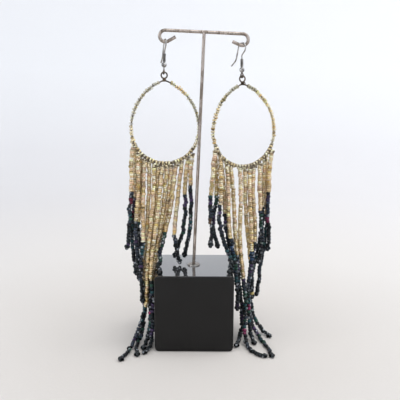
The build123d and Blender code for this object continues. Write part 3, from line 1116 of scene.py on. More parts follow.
@dataclass
class Hoop:
    """The pointed hoop: its wire with the wrapped neck, and the beads on it.

    The wrap starts wrap_down below the hoop's peak, and its wire's middle lies under the neck's
    surface by wrap_sunk of the wire. lined holds the stretches of lined beads, in millimetres
    from the lowest point. The sags are how far a bead sits off the wire, outwards and in
    millimetres, and the wide values are spans of a bead's size. Where the strings hang, beads
    take turns with dark thread.
    """

    word: str
    line: HoopLine
    seed: int
    lined: tuple[Stretch, ...]
    neck_wide: float = 1.8 * MM
    wrap_wire: float = 0.42 * MM
    wrap_turns: int = 4
    wrap_steps: int = 16
    wrap_sunk: float = 0.2
    wrap_close: float = 0.96
    wrap_down: float = 0.62 * MM
    pitch: float = 1.6 * MM
    tied_pitch: float = 1.9 * MM
    loose: float = 0.07 * MM
    sag: Span = (-0.1, 0.3)
    tied_sag: float = 0.1
    thread_sag: float = 0.15
    wide: Span = (0.84, 1.04)
    tied_wide: Span = (0.82, 1.0)
    thread_wide: Span = (0.7, 0.9)
    lean: float = 14.0
    tied_lean: float = 12.0
    vary: float = 0.8

    def build_wrap(self, material: bpy.types.Material) -> bpy.types.Object:
        """Winds fine wire round the neck under the eye ring.

        Args:
            material: The wire's finish.

        Returns:
            The wrap.
        """
        line, thick = self.line, self.wrap_wire
        wrap = WireCoil(thick, reach=self.neck_wide / 2 - thick * self.wrap_sunk, low=0.0,
                        turns=self.wrap_turns, rise=thick * self.wrap_close * self.wrap_turns,
                        steps=self.wrap_steps * self.wrap_turns)
        low = line.centre + line.up * (line.hang.hoop_high - self.wrap_down)
        return wrap.build(f"{self.word}_neck_wrap", low, (line.right, line.back, line.up),
                          material)

    def seat(self, row: BeadRow, distance: float, sag: float) -> tuple[Vector, Vector]:
        """Finds a bead's seat on the wire.

        Args:
            row: The hoop's row.
            distance: How far from the lowest point.
            sag: How far the bead sits off the wire, outwards and in millimetres.

        Returns:
            The bead's middle and the wire's direction.
        """
        centre, way = self.line.at(distance)
        chance = row.chance
        loose = Vector((chance.gauss(0, 1), 0.0, chance.gauss(0, 1))) * self.loose
        outward = (centre - self.line.centre).normalized()
        return centre + outward * (sag * MM) + loose, way

    def add_clear(self, row: BeadRow, distance: float) -> None:
        """Threads a clear or lined bead on the free part of the wire.

        Args:
            row: The hoop's row.
            distance: How far from the lowest point.
        """
        lined = tuple(tone for low, high, tone in self.lined if low < distance / MM < high)
        tones, part = (lined + LINED_PALE, Part.GOLD) if lined else (CLEAR_GLASS, Part.GLASS)
        centre, way = self.seat(row, distance, row.chance.uniform(*self.sag))
        row.add_bead(centre, way, row.chance.choice(tones), part,
                     row.chance.uniform(*self.wide), self.lean, self.vary)

    def add_tied(self, row: BeadRow, distance: float) -> None:
        """Threads a lined bead and a turn of dark thread beside it, where the strings hang.

        Args:
            row: The hoop's row.
            distance: How far from the lowest point.
        """
        centre, way = self.seat(row, distance, self.tied_sag)
        tone = row.chance.choice((BeadColour.CLEAR, BeadColour.STRAW))
        row.add_bead(centre, way, tone, Part.GOLD, row.chance.uniform(*self.tied_wide),
                     self.tied_lean)
        centre, way = self.seat(row, distance + self.tied_pitch / 2, self.thread_sag)
        row.add_bead(centre, way, BeadColour.JET, Part.WRAP,
                     row.chance.uniform(*self.thread_wide), self.lean)

    def build_beads(self, forms: BeadForms, materials: Sequence[bpy.types.Material],
                    stops: Sequence[float]) -> bpy.types.Object:
        """Threads the hoop's beads on its wire.

        Args:
            forms: The beads to repeat.
            materials: Materials in the order of Part.
            stops: Places of the strings, as distances from the lowest point.

        Returns:
            The row of beads.
        """
        row = BeadRow(forms, self.seed)
        distance = -self.line.half + self.pitch / 2
        while distance < self.line.half - self.pitch / 2:
            tied = min(stops) - self.pitch < distance < max(stops) + self.pitch
            if tied:
                self.add_tied(row, distance)
            else:
                self.add_clear(row, distance)
            distance += self.tied_pitch if tied else self.pitch
        return row.finish(f"{self.word}_hoop_run", materials)

    def dress(self, frame: dict, finishes: "MetalFinishes", beads: "BeadFinishes",
              forms: BeadForms, stops: Sequence[float]) -> None:
        """Builds and dresses the hoop.

        Args:
            frame: The loaded frame.
            finishes: The metals of the earrings.
            beads: The bead finishes.
            forms: The beads to repeat.
            stops: Places of the strings on the hoop.
        """
        dress_node(frame, f"{self.word}_hoop_wire", finishes.hoop)
        report_piece(self.build_wrap(finishes.hoop), None)
        run = self.build_beads(forms, beads.slots(), stops)
        report_piece(run, f"{self.word}_hoop_beads")


@dataclass(frozen=True)
class StringPlan:
    """One string: where it hangs, its route in millimetres and its colours down its length.

    on_hoop is the angle on the hoop from its lowest point, and around the angle round the
    hoop's wire. gold is the length of its gold beads, and accents are spans of height with a
    bead colour of their own.
    """

    number: str
    on_hoop: float
    around: float
    gold: float
    route: tuple[Place, ...]
    accents: tuple[Stretch, ...] = ()


@dataclass(frozen=True)
class Binding:
    """How a string is tied to the hoop: dark thread, two knots and a turned glass bead.

    grip is how far the thread runs from the wire's middle. path holds its way round the wire
    as shares of that, off the wire and across it, and ends how far above the string's top it
    starts and stops. Those and the offsets of the bead and the knots are in millimetres. aside
    is how far the thread sits to the other side, as a share of the bead's own distance, and
    bead_turn turns the bead's hole from the front towards its side.
    """

    thread: float = 0.36 * MM
    grip: float = 1.15 * MM
    path: tuple[Span, ...] = ((1.3, 0), (1, 1), (0, 1), (-1, 0), (0, -1), (1, -1), (1.3, 0))
    ends: Span = (0.2, 0.1)
    aside: float = 0.6
    bead_wide: float = 0.7
    bead_lean: float = 12.0
    bead_out: float = 1.2
    bead_front: float = 0.4
    bead_beside: Span = (1.0, 1.3)
    bead_turn: float = 300.0
    knot_wide: float = 0.52
    knot_lean: float = 14.0
    knot_front: float = 1.2
    knot_below: Span = (-0.6, 1.0)
    knot_beside: Span = (0.3, 0.9)

    def tie(self, row: BeadRow, wire: Vector, axes: Sequence[Vector], top: Vector) -> None:
        """Ties a string to the hoop.

        Args:
            row: The string's row.
            wire: The middle of the hoop's wire at the string.
            axes: The ways out from the hoop's centre, off its wire to the string, along the
                wire and to the front.
            top: The string's top end.
        """
        out, off, along, front = axes
        cross = off.cross(along).normalized()
        hand = row.chance.choice((-1, 1))
        beside = along * (hand * row.chance.uniform(*self.bead_beside) * MM)
        place = wire + out * self.bead_out * MM + front * self.bead_front * MM + beside
        row.add_bead(place, front + beside * self.bead_turn, BeadColour.CLEAR, Part.GOLD,
                     self.bead_wide, self.bead_lean)
        for side in (-1, 1):
            place = top - UP * row.chance.uniform(*self.knot_below) * MM
            shift = hand * side * row.chance.uniform(*self.knot_beside) * MM
            row.add_bead(place + front * self.knot_front * MM - along * shift,
                         cross + along * side, BeadColour.JET, Part.WRAP, self.knot_wide,
                         self.knot_lean)
        middle = wire - beside * self.aside
        turns = [middle + off * self.grip * far + cross * self.grip * near
                 for far, near in self.path]
        first, last = (top - off * end * MM for end in self.ends)
        row.add_thread([first, *turns, last], self.thread, Part.WRAP)


@dataclass(frozen=True)
class TipLoop:
    """The small loop of three beads that ends a string.

    step is in metres, and down, aside and last place the two side beads and the last one as
    shares of it. splay leans the side beads apart. Where the string hangs steeply, the loop
    faces the front within turn, in radians.
    """

    step: float = BEAD_WIDE * 0.4
    down: float = 0.8
    aside: float = 0.85
    last: float = 2.1
    splay: float = 0.45
    wide: float = 0.84
    lean: float = 2.0
    turn: Span = (-0.6, 0.6)

    def thread(self, row: BeadRow, place: Vector, way: Vector) -> None:
        """Threads the loop.

        Args:
            row: The string's row.
            place: Where the straight beads stop.
            way: The string's direction there.
        """
        across = way.cross(UP)
        if across.length < 0.5:
            turn = row.chance.uniform(*self.turn)
            across = Vector((cos(turn), sin(turn), 0.0))
        across = (across - way * across.dot(way)).normalized()
        for hand in (-1, 1):
            centre = (place + way * (self.step * self.down)
                      + across * (hand * self.step * self.aside))
            row.add_bead(centre, (way + across * hand * self.splay).normalized(),
                         BeadColour.JET, Part.DARK, self.wide, self.lean)
        row.add_bead(place + way * (self.step * self.last), across, BeadColour.JET, Part.DARK,
                     self.wide, self.lean)


@dataclass
class FringeString:
    """A hanging string of seed beads that ends in a loop of three beads.

    gap is its top's distance from the hoop's beads, and lift how far above its top the first
    bead sits. A bead whose way is level within lying lies on something. sway and stray, in
    millimetres, tell how far a bead sits off the thread. The gold beads deepen down the string,
    unevenly by gold_wave, and the last beads, over black_end, are nearly all black. dark_tones
    holds the other dark colours, each from a value of the string's own wave.
    """

    word: str
    plan: StringPlan
    line: HoopLine
    seed: int
    light: float
    binding: Binding = Binding()
    loop: TipLoop = TipLoop()
    bead: float = BEAD_WIDE
    gap: float = 0.3 * MM
    pitch: float = 1.4 * MM
    slack: float = 0.02 * MM
    thread: float = 0.24 * MM
    tip: float = 2.9 * MM
    lift: float = 0.35 * MM
    lying: float = 0.35
    lying_wide: float = 0.90
    hanging_wide: float = 1.08
    lying_lean: float = 4.0
    gold_lean: float = 9.0
    dark_lean: float = 13.0
    sway: float = 0.08
    sway_long: float = 1.9 * MM
    stray: float = 0.13
    dark_loose: float = 1.7
    gold_wave: float = 0.25
    gold_long: float = 9 * MM
    deep_from: float = 0.25
    deep_rise: float = 0.6
    black_end: float = 14 * MM
    black_share: float = 0.8
    dark_long: float = 6.5 * MM
    dark_spread: float = 0.45
    dark_tones: tuple[tuple[float, BeadColour], ...] = (
        (1.2, BeadColour.VIOLET), (0.35, BeadColour.MIDNIGHT), (-0.55, BeadColour.JET))

    def hang_axes(self) -> tuple[Vector, Vector]:
        """Finds how the string leaves the hoop.

        Returns:
            The way out from the hoop's centre and the way off its wire at this string.
        """
        level, back = flat_dir(self.line.hang.hoop_turn), self.line.back
        phi, beta = radians(self.plan.on_hoop), radians(self.plan.around)
        out = level * sin(phi) - UP * cos(phi)
        return out, out * cos(beta) + back * sin(beta)

    def start(self) -> Vector:
        """Finds the string's top end under the hoop's beads.

        Returns:
            The top end.
        """
        out, off = self.hang_axes()
        reach = self.bead / 2 + self.gap + self.bead / 2 * sqrt(max(0.0, 1 - off.z ** 2))
        return self.line.centre + out * self.line.radius + off * reach

    def gold_tone(self, chance: Random, distance: float, phase: float) -> BeadColour:
        """Chooses the colour of a gold bead.

        Args:
            chance: The row's chance.
            distance: How far down the string the bead sits.
            phase: The string's own shift of tone.

        Returns:
            The colour.
        """
        if distance < self.pitch:
            return BeadColour.CLEAR
        share = (distance / (self.plan.gold * MM)
                 + self.gold_wave * sin(phase + distance / self.gold_long))
        is_deep = chance.random() < self.deep_from + self.deep_rise * share
        return chance.choice(DEEP_GOLD if is_deep else PALE_GOLD)

    def dark_tone(self, chance: Random, distance: float, length: float,
                  phase: float) -> BeadColour:
        """Chooses the colour of a dark bead.

        Args:
            chance: The row's chance.
            distance: How far down the string the bead sits.
            length: The string's length.
            phase: The string's own shift of tone.

        Returns:
            The colour.
        """
        if distance > length - self.black_end and chance.random() < self.black_share:
            return BeadColour.JET
        wave = sin(phase * 3 + distance / self.dark_long) + chance.gauss(0, self.dark_spread)
        for low, tone in self.dark_tones:
            if wave > low:
                return tone
        return chance.choice(BLUE_GREEN)

    def tone(self, chance: Random, distance: float, place: Vector, length: float,
             phase: float) -> tuple[BeadColour, Part]:
        """Chooses a bead's colour.

        Args:
            chance: The row's chance.
            distance: How far down the string the bead sits.
            place: Where it sits.
            length: The string's length.
            phase: The string's own shift of tone.

        Returns:
            The colour and the material slot.
        """
        for low, high, accent in self.plan.accents:
            if low <= place.z / MM <= high:
                return accent, Part.DARK
        if distance < self.plan.gold * MM:
            return self.gold_tone(chance, distance, phase), Part.GOLD
        return self.dark_tone(chance, distance, length, phase), Part.DARK

    def wander(self, chance: Random, distance: float, phase: float) -> Vector:
        """Finds how far a bead sits off the string's line.

        Args:
            chance: The row's chance.
            distance: How far down the string the bead sits.
            phase: The string's own shift.

        Returns:
            The level shift.
        """
        wave = self.sway * sin(distance / self.sway_long + phase)
        stray = wave + chance.gauss(0, self.stray), chance.gauss(0, self.stray)
        return Vector((*stray, 0.0)) * MM

    def add_top(self, row: BeadRow, top: Vector) -> None:
        """Ties the string to the hoop.

        Args:
            row: The string's row.
            top: The string's top end.
        """
        out, off = self.hang_axes()
        turn = radians(self.plan.on_hoop)
        along = self.line.right * cos(turn) + self.line.up * sin(turn)
        wire = self.line.centre + out * self.line.radius
        self.binding.tie(row, wire, (out, off, along, -self.line.back), top)

    def build(self, forms: BeadForms,
              materials: Sequence[bpy.types.Material]) -> bpy.types.Object:
        """Threads the string.

        Args:
            forms: The beads to repeat.
            materials: Materials in the order of Part.

        Returns:
            The string.
        """
        row = BeadRow(forms, self.seed, self.light)
        top = self.start()
        route = [top] + [Vector(point) * MM for point in self.plan.route]
        line = ThreadLine(route)
        phase = row.chance.uniform(0, 2 * pi)
        usable = line.length - self.tip
        self.add_top(row, top)
        beads, distance = [], 0.0
        while distance < usable + self.lift - 0.5 * self.pitch:
            place, _ = line.at(distance - self.lift)
            colour, part = self.tone(row.chance, distance, place, line.length, phase)
            step = forms.of(part).long + self.slack
            beads.append((distance + step / 2, colour, part))
            distance += step
        for middle, colour, part in beads:
            place, way = line.at(middle * (usable + self.lift) / distance - self.lift)
            loose = self.wander(row.chance, middle, phase)
            lean = self.gold_lean
            if part is not Part.GOLD:
                loose, lean = loose * self.dark_loose, self.dark_lean
            wide = self.hanging_wide
            if abs(way.z) < self.lying:
                wide, lean = self.lying_wide, self.lying_lean
            row.add_bead(place + loose, way, colour, part, wide, lean)
        end, way = line.at(usable)
        self.loop.thread(row, end, way)
        row.add_thread(route[:-1] + [end], self.thread, Part.THREAD)
        return row.finish(f"{self.word}_fringe_{self.plan.number}", materials)


LEFT_PLANS: tuple[StringPlan, ...] = (
    StringPlan("01", -66, -75, 28, (
        (-36.5, -4.5, 109.5), (-36, -5, 100), (-36.5, -5, 90.5), (-37.5, -5, 83),
        (-37.5, -5.5, 75), (-38.5, -5, 67.5), (-38.5, -5.5, 61), (-40, -5.5, 55.5)),
        ((83, 88, BeadColour.WINE), (78, 81, BeadColour.MIDNIGHT))),
    StringPlan("02", -59, 70, 29, (
        (-34.5, -1.5, 105), (-34.5, -1.5, 93.5), (-35.5, -2, 81), (-36.5, -2, 70.5),
        (-37, -2, 59.5), (-36, -2, 49), (-34.5, -2.5, 39)),
        ((82, 87, BeadColour.VIOLET), (76, 79, BeadColour.WINE))),
    StringPlan("03", -51, -60, 40, (
        (-32.5, -4, 102.5), (-32.5, -4.5, 92), (-33, -5, 83), (-34.5, -5, 73),
        (-34.5, -5, 62.5), (-33.5, -5, 53), (-33, -5, 44), (-32.5, -4.5, 36))),
    StringPlan("04", -43, 50, 39, (
        (-31.5, -1, 101), (-31.5, -1, 89.5), (-32.5, -1, 78.5), (-33.5, -1, 70),
        (-33, -1, 61.5), (-31.5, -1, 54), (-31.5, -1, 45.5), (-32.5, -1, 38.5))),
    StringPlan("05", -35.5, -35, 49, (
        (-29.5, -3, 98), (-30, -4, 85), (-30, -4.5, 72.5), (-30, -5.5, 61), (-31, -7, 52),
        (-31.5, -7.5, 42.5), (-31, -7.5, 33), (-30.5, -8, 23.5)),
        ((53, 59, BeadColour.TEAL),)),
    StringPlan("06", -27, 20, 71, (
        (-26.5, -1, 96.5), (-27, -1, 83.5), (-28, -1, 70), (-28.5, -1.5, 59),
        (-29.5, -2, 48.5), (-30, -2.5, 38), (-29.5, -3, 27.5), (-30, -3.5, 18),
        (-30.5, -4.5, 10.5), (-31.5, -6.5, 4.5), (-33, -10.5, ON_TABLE), (-34, -20.5, ON_TABLE),
        (-31.5, -30, ON_TABLE))),
    StringPlan("07", -19, -15, 85, (
        (-23.5, -3, 95.5), (-24.5, -3, 81.5), (-26, -3.5, 68), (-27.5, -5, 54.5),
        (-28, -6.5, 42.5), (-28, -7, 31.5), (-28.5, -7, 21.5), (-31.5, -6.5, 12.5),
        (-34, -8.5, 4.5), (-36.5, -19, ON_TABLE), (-38, -28.5, ON_TABLE), (-41, -35.5, ON_TABLE)),
        ((18, 22, BeadColour.TEAL),)),
    StringPlan("08", -12, 0, 69, (
        (-22, -0.5, 94), (-22.5, -1, 81), (-24, -1, 67), (-26, -2, 53.5), (-26.5, -3.5, 40.5),
        (-26.5, -5, 28.5), (-26, -6, 18.5), (-26.5, -8, 10.5), (-27, -10.5, 5),
        (-28.5, -15.5, ON_TABLE), (-29.5, -21.5, ON_TABLE)),
        ((16, 19, BeadColour.MAGENTA),)),
    StringPlan("09", -5, 0, 68, (
        (-20, -3, 93), (-21, -3, 80.5), (-23, -3.5, 66.5), (-25, -5.5, 53), (-25.5, -7.5, 40.5),
        (-24.5, -8.5, 28.5), (-24.5, -10, 17.5), (-24.5, -12, 8.5), (-25, -14.5, 3.5),
        (-25.5, -18.5, ON_TABLE), (-26.5, -23, ON_TABLE), (-29, -27, ON_TABLE)),
        ((20, 24, BeadColour.VIOLET),)),
    StringPlan("10", 2, 0, 71, (
        (-17.5, 0.5, 92.5), (-18.5, 0, 80), (-20.5, 0, 67), (-23, -0.5, 54), (-25, -1.5, 42),
        (-24.5, -2.5, 30), (-24.5, -4, 19), (-25, -5, 10))),
    StringPlan("11", 9.5, 0, 60, (
        (-15, 1.5, 93.5), (-16, 2, 81.5), (-19, 2, 69), (-22, 2.5, 56), (-24, 1.5, 44),
        (-25, 1, 34), (-25.5, 0.5, 25), (-25, 0, 16.5))),
    StringPlan("12", 17.5, 10, 40, (
        (-12.5, 1, 95.5), (-13.5, 0.5, 82.5), (-16, 0, 71), (-18, 0, 62.5), (-19.5, -0.5, 57),
        (-20.5, -1, 52), (-20.5, -3, 48.5), (-21, -7, ON_BLOCK), (-20, -14.5, ON_BLOCK),
        (-19.5, -20.5, ON_BLOCK)),
        ((61, 66, BeadColour.GREEN),)),
    StringPlan("13", 26.5, 15, 43, (
        (-9, 2, 96.5), (-10, 1, 85), (-11.5, 0.5, 73.5), (-12, 0, 64), (-11, 0, 57),
        (-10, 0, 51), (-8.5, -0.5, 45.5))),
    StringPlan("14", 38, 30, 22, (
        (-5.5, 3, 98.5), (-6, 3, 87.5), (-5.5, 3, 76.5), (-6.5, 4, 66.5), (-9.5, 4.5, 57),
        (-12.5, 6, 47.5)),
        ((80, 86, BeadColour.VIOLET),)),
    StringPlan("15", 47, -20, 18, (
        (-2.5, 2.5, 102), (-2.5, 2.5, 92), (-2, 2.5, 82.5), (-2.5, 3, 71), (-4, 4, 59),
        (-6.5, 5, 48))),
)

RIGHT_PLANS: tuple[StringPlan, ...] = (
    StringPlan("01", -66, -75, 27, (
        (10.5, -9, 108.5), (10.5, -9, 100.5), (9.5, -9.5, 93), (9, -9.5, 85), (9, -9.5, 78),
        (10, -9.5, 71), (10, -9.5, 64), (9, -9.5, 58)),
        ((84, 88, BeadColour.VIOLET), (72, 76, BeadColour.BRONZE))),
    StringPlan("02", -59, 70, 25, (
        (12, -5.5, 104.5), (12.5, -6, 95), (12.5, -6, 85.5), (11, -6.5, 77.5), (10.5, -7, 70),
        (12, -7, 63), (14, -7, 57)),
        ((84, 89, BeadColour.GREEN),)),
    StringPlan("03", -51, -60, 28, (
        (14.5, -8.5, 102), (15, -8.5, 92.5), (15, -9, 84), (13.5, -9.5, 77), (15, -9.5, 70.5),
        (16, -9, 64), (18.5, -9, 58), (20.5, -9, 52.5), (21, -11, 48.5), (20.5, -15, ON_BLOCK),
        (20, -19.5, ON_BLOCK))),
    StringPlan("04", -42.5, 50, 31, (
        (16, -4, 101), (17, -5, 90.5), (17.5, -5, 80), (18, -5.5, 71), (19.5, -5.5, 62.5),
        (22, -5.5, 54.5), (23.5, -5.5, 47.5), (24, -5, 40.5))),
    StringPlan("05", -33, -30, 44, (
        (19, -6.5, 97.5), (19.5, -7, 86.5), (19.5, -7, 75.5), (20.5, -7.5, 65), (22.5, -8, 56.5),
        (24, -8, 47.5), (24.5, -8, 38), (26, -8, 28.5), (25.5, -8, 19)),
        ((55, 60, BeadColour.BLUE),)),
    StringPlan("06", -22.5, 20, 52, (
        (22, -2, 93.5), (23, -2.5, 80.5), (23.5, -3, 67), (25, -3, 54.5), (26, -3.5, 43.5),
        (27, -3, 32), (28.5, -1.5, 22.5), (29, -0.5, 14), (29, -0.5, 7), (28.5, -2.5, 3.5),
        (27.5, -6, ON_TABLE), (25.5, -12.5, ON_TABLE), (24.5, -18, ON_TABLE)),
        ((44, 50, BeadColour.VIOLET),)),
    StringPlan("07", -7, -10, 66, (
        (26.5, -2.5, 94.5), (27, -2.5, 81.5), (26.5, -2.5, 68.5), (27, -3, 55.5),
        (28.5, -3.5, 44.5), (29.5, -4, 33.5), (31, -5, 23.5), (30.5, -5.5, 14.5), (30, -8, 6),
        (30.5, -15, ON_TABLE), (33, -23.5, ON_TABLE), (37, -28.5, ON_TABLE),
        (41.5, -30, ON_TABLE)),
        ((27, 31, BeadColour.GREEN), (20, 24, BeadColour.TEAL), (5, 8, BeadColour.MAGENTA))),
    StringPlan("08", 2.5, 0, 55, (
        (29.5, 1, 93), (30, 1, 80), (31, 1, 68), (32.5, 1, 56.5), (34, 0.5, 45.5),
        (35, 0, 34.5), (35, 0, 23.5)),
        ((24, 29, BeadColour.OLIVE),)),
    StringPlan("09", 11, 0, 50, (
        (32, 0, 93), (32.5, -1, 80), (33.5, -1.5, 67), (34, -2, 53.5), (33, -2, 41.5),
        (32, -3, 31), (33, -3, 22), (33, -3, 14.5), (33.5, -4, 8), (34, -6, 3.5),
        (35, -10, ON_TABLE), (36, -14.5, ON_TABLE)),
        ((49, 54, BeadColour.BLUE), (19, 22, BeadColour.MAGENTA))),
    StringPlan("10", 19, 5, 45, (
        (34, 2.5, 92.5), (35, 3, 79.5), (36.5, 3, 66), (36, 3, 53.5), (34.5, 3.5, 41),
        (33, 3.5, 29), (33, 2.5, 18.5), (34.5, 1.5, 10.5), (36.5, 0, 4.5), (39.5, -4.5, ON_TABLE),
        (41.5, -14, ON_TABLE), (43.5, -22.5, ON_TABLE), (44, -31, ON_TABLE)),
        ((3, 6, BeadColour.VIOLET),)),
    StringPlan("11", 30, -10, 28, (
        (38, 3, 93.5), (39, 3, 81), (39.5, 3, 71), (41, 3.5, 61), (40, 4, 52), (38.5, 4, 44.5)),
        ((72, 78, BeadColour.GREEN),)),
    StringPlan("12", 41, 10, 29, (
        (41, 6.5, 97), (41, 7.5, 84.5), (41, 7, 71), (39.5, 7, 57.5), (37, 7.5, 44.5),
        (34.5, 7, 32.5), (34, 6.5, 22.5), (35.5, 6, 14), (38.5, 5.5, 7), (41.5, 3.5, 3),
        (44.5, 0, ON_TABLE), (46.5, -4.5, ON_TABLE))),
    StringPlan("13", 59, -60, 25, (
        (44, 5, 104), (44, 5, 94), (44, 5.5, 85), (43.5, 5.5, 76.5), (44.5, 5.5, 68.5),
        (45, 5.5, 62), (45, 5.5, 56.5), (44, 5.5, 52)),
        ((83, 87, BeadColour.VIOLET), (70, 74, BeadColour.MAGENTA))),
    StringPlan("14", 50, 60, 37, (
        (43, 9, 99.5), (43.5, 9, 87.5), (43.5, 8.5, 76), (43.5, 8.5, 64.5), (42.5, 8.5, 54.5),
        (41, 9, 45.5), (40, 9.5, 35.5), (39.5, 9, 28), (38.5, 9, 22))),
)


@dataclass
class MetalFinishes:
    """The metals of the earrings."""

    hook: bpy.types.Material = field(default_factory=lambda: DrawnMetal(
        "bright_wire", (0.56, 0.55, 0.53), (0.20, 0.19, 0.18), (0.16, 0.32),
        brown_below=159.5 * MM).make())
    ball: bpy.types.Material = field(default_factory=lambda: DrawnMetal(
        "polished_ball", (0.62, 0.61, 0.60), (0.12, 0.115, 0.11), (0.08, 0.24), patch=1.3 * MM,
        edge=(0.15, 0.14, 0.13)).make())
    coil: bpy.types.Material = field(default_factory=lambda: DrawnMetal(
        "coil_wire", (0.34, 0.33, 0.315), (0.12, 0.115, 0.11), (0.22, 0.4)).make())
    hoop: bpy.types.Material = field(default_factory=lambda: DrawnMetal(
        "gunmetal", (0.16, 0.125, 0.09), (0.045, 0.036, 0.028), (0.28, 0.5)).make())


@dataclass
class BeadFinishes:
    """The glass of the beads and their thread."""

    gold: bpy.types.Material = field(default_factory=LinedGlass("gold_lined_glass").make)
    hoop: bpy.types.Material = field(default_factory=LinedGlass(
        "pale_clear_glass", clear=0.6, metal=0.05, rough=(0.03, 0.16),
        rim_shade=(0.12, 0.09, 0.04), rim_shade_share=0.85, glint=(1.0, 0.97, 0.80), contrast=0.5,
        spark=0.5, index=1.2, edge=(0.9, 0.8, 0.55), coat=0.0).make)
    dark: bpy.types.Material = field(default_factory=IrisGlass().make)
    thread: bpy.types.Material = field(default_factory=Thread().make)
    wrap: bpy.types.Material = field(default_factory=Thread(
        "binding_thread", (0.13, 0.088, 0.050), (0.045, 0.030, 0.018)).make)

    def slots(self) -> list[bpy.types.Material]:
        """Returns the materials in the order of Part."""
        return [self.gold, self.dark, self.thread, self.hoop, self.wrap]


@dataclass
class Earring:
    """One earring: ear wire, hoop and fringe.

    lined holds the stretches of lined beads on its hoop, in millimetres from the lowest point,
    and their colours. light is how light the beads of its fringe are painted, as painted light
    and shade for how the lamps fall on this earring.
    """

    word: str
    hang: Hang
    plans: tuple[StringPlan, ...]
    seed: int
    lined: tuple[Stretch, ...]
    light: float

    def dress(self, frame: dict, metals: MetalFinishes, beads: BeadFinishes,
              forms: BeadForms) -> None:
        """Builds and dresses every part of the earring.

        Args:
            frame: The loaded frame.
            metals: The metals.
            beads: The bead finishes.
            forms: The beads to repeat.
        """
        line = HoopLine(self.hang)
        EarWire(self.word, self.hang).dress(frame, metals)
        stops = [radians(plan.on_hoop) * line.radius for plan in self.plans]
        hoop = Hoop(self.word, line, self.seed, self.lined)
        hoop.dress(frame, metals, beads, forms, stops)
        for index, plan in enumerate(self.plans, start=1):
            string = FringeString(self.word, plan, line, self.seed + index, self.light)
            piece = string.build(forms, beads.slots())
            report_piece(piece, f"{self.word}_strand_{plan.number}")


# Studio


@dataclass(frozen=True)
class SoftLight:
    """A square soft light: where it hangs, what it is aimed at, its side, watts and colour."""

    name: str
    place: Place
    target: Place
    side: float
    power: float
    colour: Colour

    def hang(self) -> None:
        """Hangs the light and aims it."""
        data = bpy.data.lights.new(self.name, "AREA")
        data.shape, data.size = "SQUARE", self.side
        data.energy, data.color = self.power, self.colour
        light = bpy.data.objects.new(self.name, data)
        light.location = self.place
        aim = Vector(self.target) - light.location
        light.rotation_euler = aim.to_track_quat("-Z", "Y").to_euler()
        bpy.context.scene.collection.objects.link(light)


STAND_MIDDLE = (0.0, 0.0, 0.08)
BACK_WALL = (0.3, 0.95, 0.3)
SOFT_LIGHTS = (
    SoftLight("top_soft", (0.1, -0.15, 0.95), STAND_MIDDLE, 0.8, 4.0, (1.0, 0.99, 0.975)),
    SoftLight("right_soft", (0.7, -0.35, 0.55), STAND_MIDDLE, 0.5, 0.95, (0.97, 0.985, 1.0)),
    SoftLight("left_soft", (-0.7, -0.3, 0.5), STAND_MIDDLE, 0.5, 1.25, (0.98, 0.99, 1.0)),
    SoftLight("wall_wash", (0.45, 0.1, 0.9), BACK_WALL, 0.5, 3.2, (1.0, 0.995, 0.99)),
)


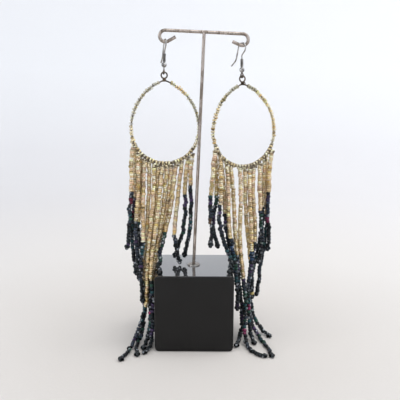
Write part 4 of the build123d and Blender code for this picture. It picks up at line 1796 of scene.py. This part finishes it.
@dataclass
class Studio:
    """A pale round sweep, soft lights and the camera.

    floor is the radius of its flat floor, bend that of the curve up to the wall, and wall the
    wall's height. The camera's pitch, yaw and roll are in degrees.
    """

    floor: float = 0.50
    bend: float = 0.45
    wall: float = 0.9
    bend_steps: int = 20
    round_steps: int = 96
    air: Colour = (0.88, 0.93, 1.0)
    air_strength: float = 0.46
    eye: Vector = field(default_factory=lambda: Vector((1.62, -313.29, 140.85)) * MM)
    pitch: float = 10.19
    yaw: float = 0.27
    roll: float = 0.32
    lens: float = 48.78
    sensor: float = 36.0

    def build_sweep(self) -> None:
        """Makes the floor that curves up into a wall all round."""
        bm = bmesh.new()
        rim = bm.verts.new((self.floor, 0.0, 0.0))
        bmesh.ops.spin(bm, geom=[rim], cent=(self.floor, 0.0, self.bend), axis=(0.0, -1.0, 0.0),
                       angle=pi / 2, steps=self.bend_steps)
        by_height = sorted(bm.verts, key=lambda v: v.co.z)
        low, high = by_height[0], by_height[-1]
        bm.edges.new((bm.verts.new((0.0, 0.0, 0.0)), low))
        bm.edges.new((high, bm.verts.new((high.co.x, 0.0, high.co.z + self.wall))))
        bmesh.ops.spin(bm, geom=bm.verts[:] + bm.edges[:], cent=Vector(), axis=UP,
                       angle=2 * pi, steps=self.round_steps, use_merge=True)
        bmesh.ops.remove_doubles(bm, verts=bm.verts, dist=0.01 * MM)
        smooth_outward(bm)
        bmesh.ops.reverse_faces(bm, faces=bm.faces)
        finish_piece(bm, "studio_sweep", [StudioPaper().make()])

    def build_lights(self) -> None:
        """Lights the sweep softly, a little more from the right."""
        for light in SOFT_LIGHTS:
            light.hang()
        world = bpy.data.worlds.new("studio_air")
        world.use_nodes = True
        air = world.node_tree.nodes["Background"]
        air.inputs["Color"].default_value = (*self.air, 1.0)
        air.inputs["Strength"].default_value = self.air_strength
        bpy.context.scene.world = world

    def build_camera(self) -> None:
        """Sets the camera where the photograph was taken."""
        data = bpy.data.cameras.new("camera")
        data.sensor_width, data.lens = self.sensor, self.lens
        camera = bpy.data.objects.new("camera", data)
        turn = Matrix.Rotation(radians(-self.yaw), 4, "Z")
        tip = Matrix.Rotation(radians(90 - self.pitch), 4, "X")
        roll = Matrix.Rotation(radians(self.roll), 4, "Z")
        camera.matrix_world = Matrix.Translation(self.eye) @ turn @ tip @ roll
        bpy.context.scene.collection.objects.link(camera)
        bpy.context.scene.camera = camera

    def build(self) -> None:
        """Builds the whole studio."""
        bpy.context.scene.view_settings.view_transform = "Standard"
        self.build_camera()
        self.build_sweep()
        self.build_lights()


def both_earrings() -> tuple[Earring, Earring]:
    """Describes the left and the right earring as they hang in the photo.

    Returns:
        The left earring and the right one.
    """
    left = Hang(side=-1, hook_turn=14.0, hook_lean=2.5, slide=0.2 * MM, hoop_turn=9.0,
                hoop_lean=1.0, coil_w=-7.6 * MM)
    right = Hang(side=1, hook_turn=33.0, hook_lean=-1.8, slide=0.3 * MM, hoop_turn=22.0,
                 hoop_lean=3.7, coil_w=-8.4 * MM)
    left_lined = ((-34, -20, BeadColour.STRAW), (14, 26, BeadColour.CLEAR),
                  (51, 60, BeadColour.HONEY))
    right_lined = ((-47, -38, BeadColour.HONEY), (-36, -26, BeadColour.AMBER),
                   (25, 33, BeadColour.AMBER), (33, 46, BeadColour.STRAW),
                   (46, 57, BeadColour.HONEY))
    # Painted light and shade: the left fringe's beads are painted lighter and the right's darker.
    return (Earring("left", left, LEFT_PLANS, 100, left_lined, light=1.04),
            Earring("right", right, RIGHT_PLANS, 200, right_lined, light=0.9))


def main() -> None:
    """Dresses the stand and both earrings, and sets the studio."""
    logging.basicConfig(level=logging.INFO, format="%(name)s %(message)s")
    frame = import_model()
    Studio().build()
    Stand().dress(frame)
    metals, beads, forms = MetalFinishes(), BeadFinishes(), BeadForms()
    for earring in both_earrings():
        earring.dress(frame, metals, beads, forms)
    forms.clear()


if __name__ == "__main__":
    main()
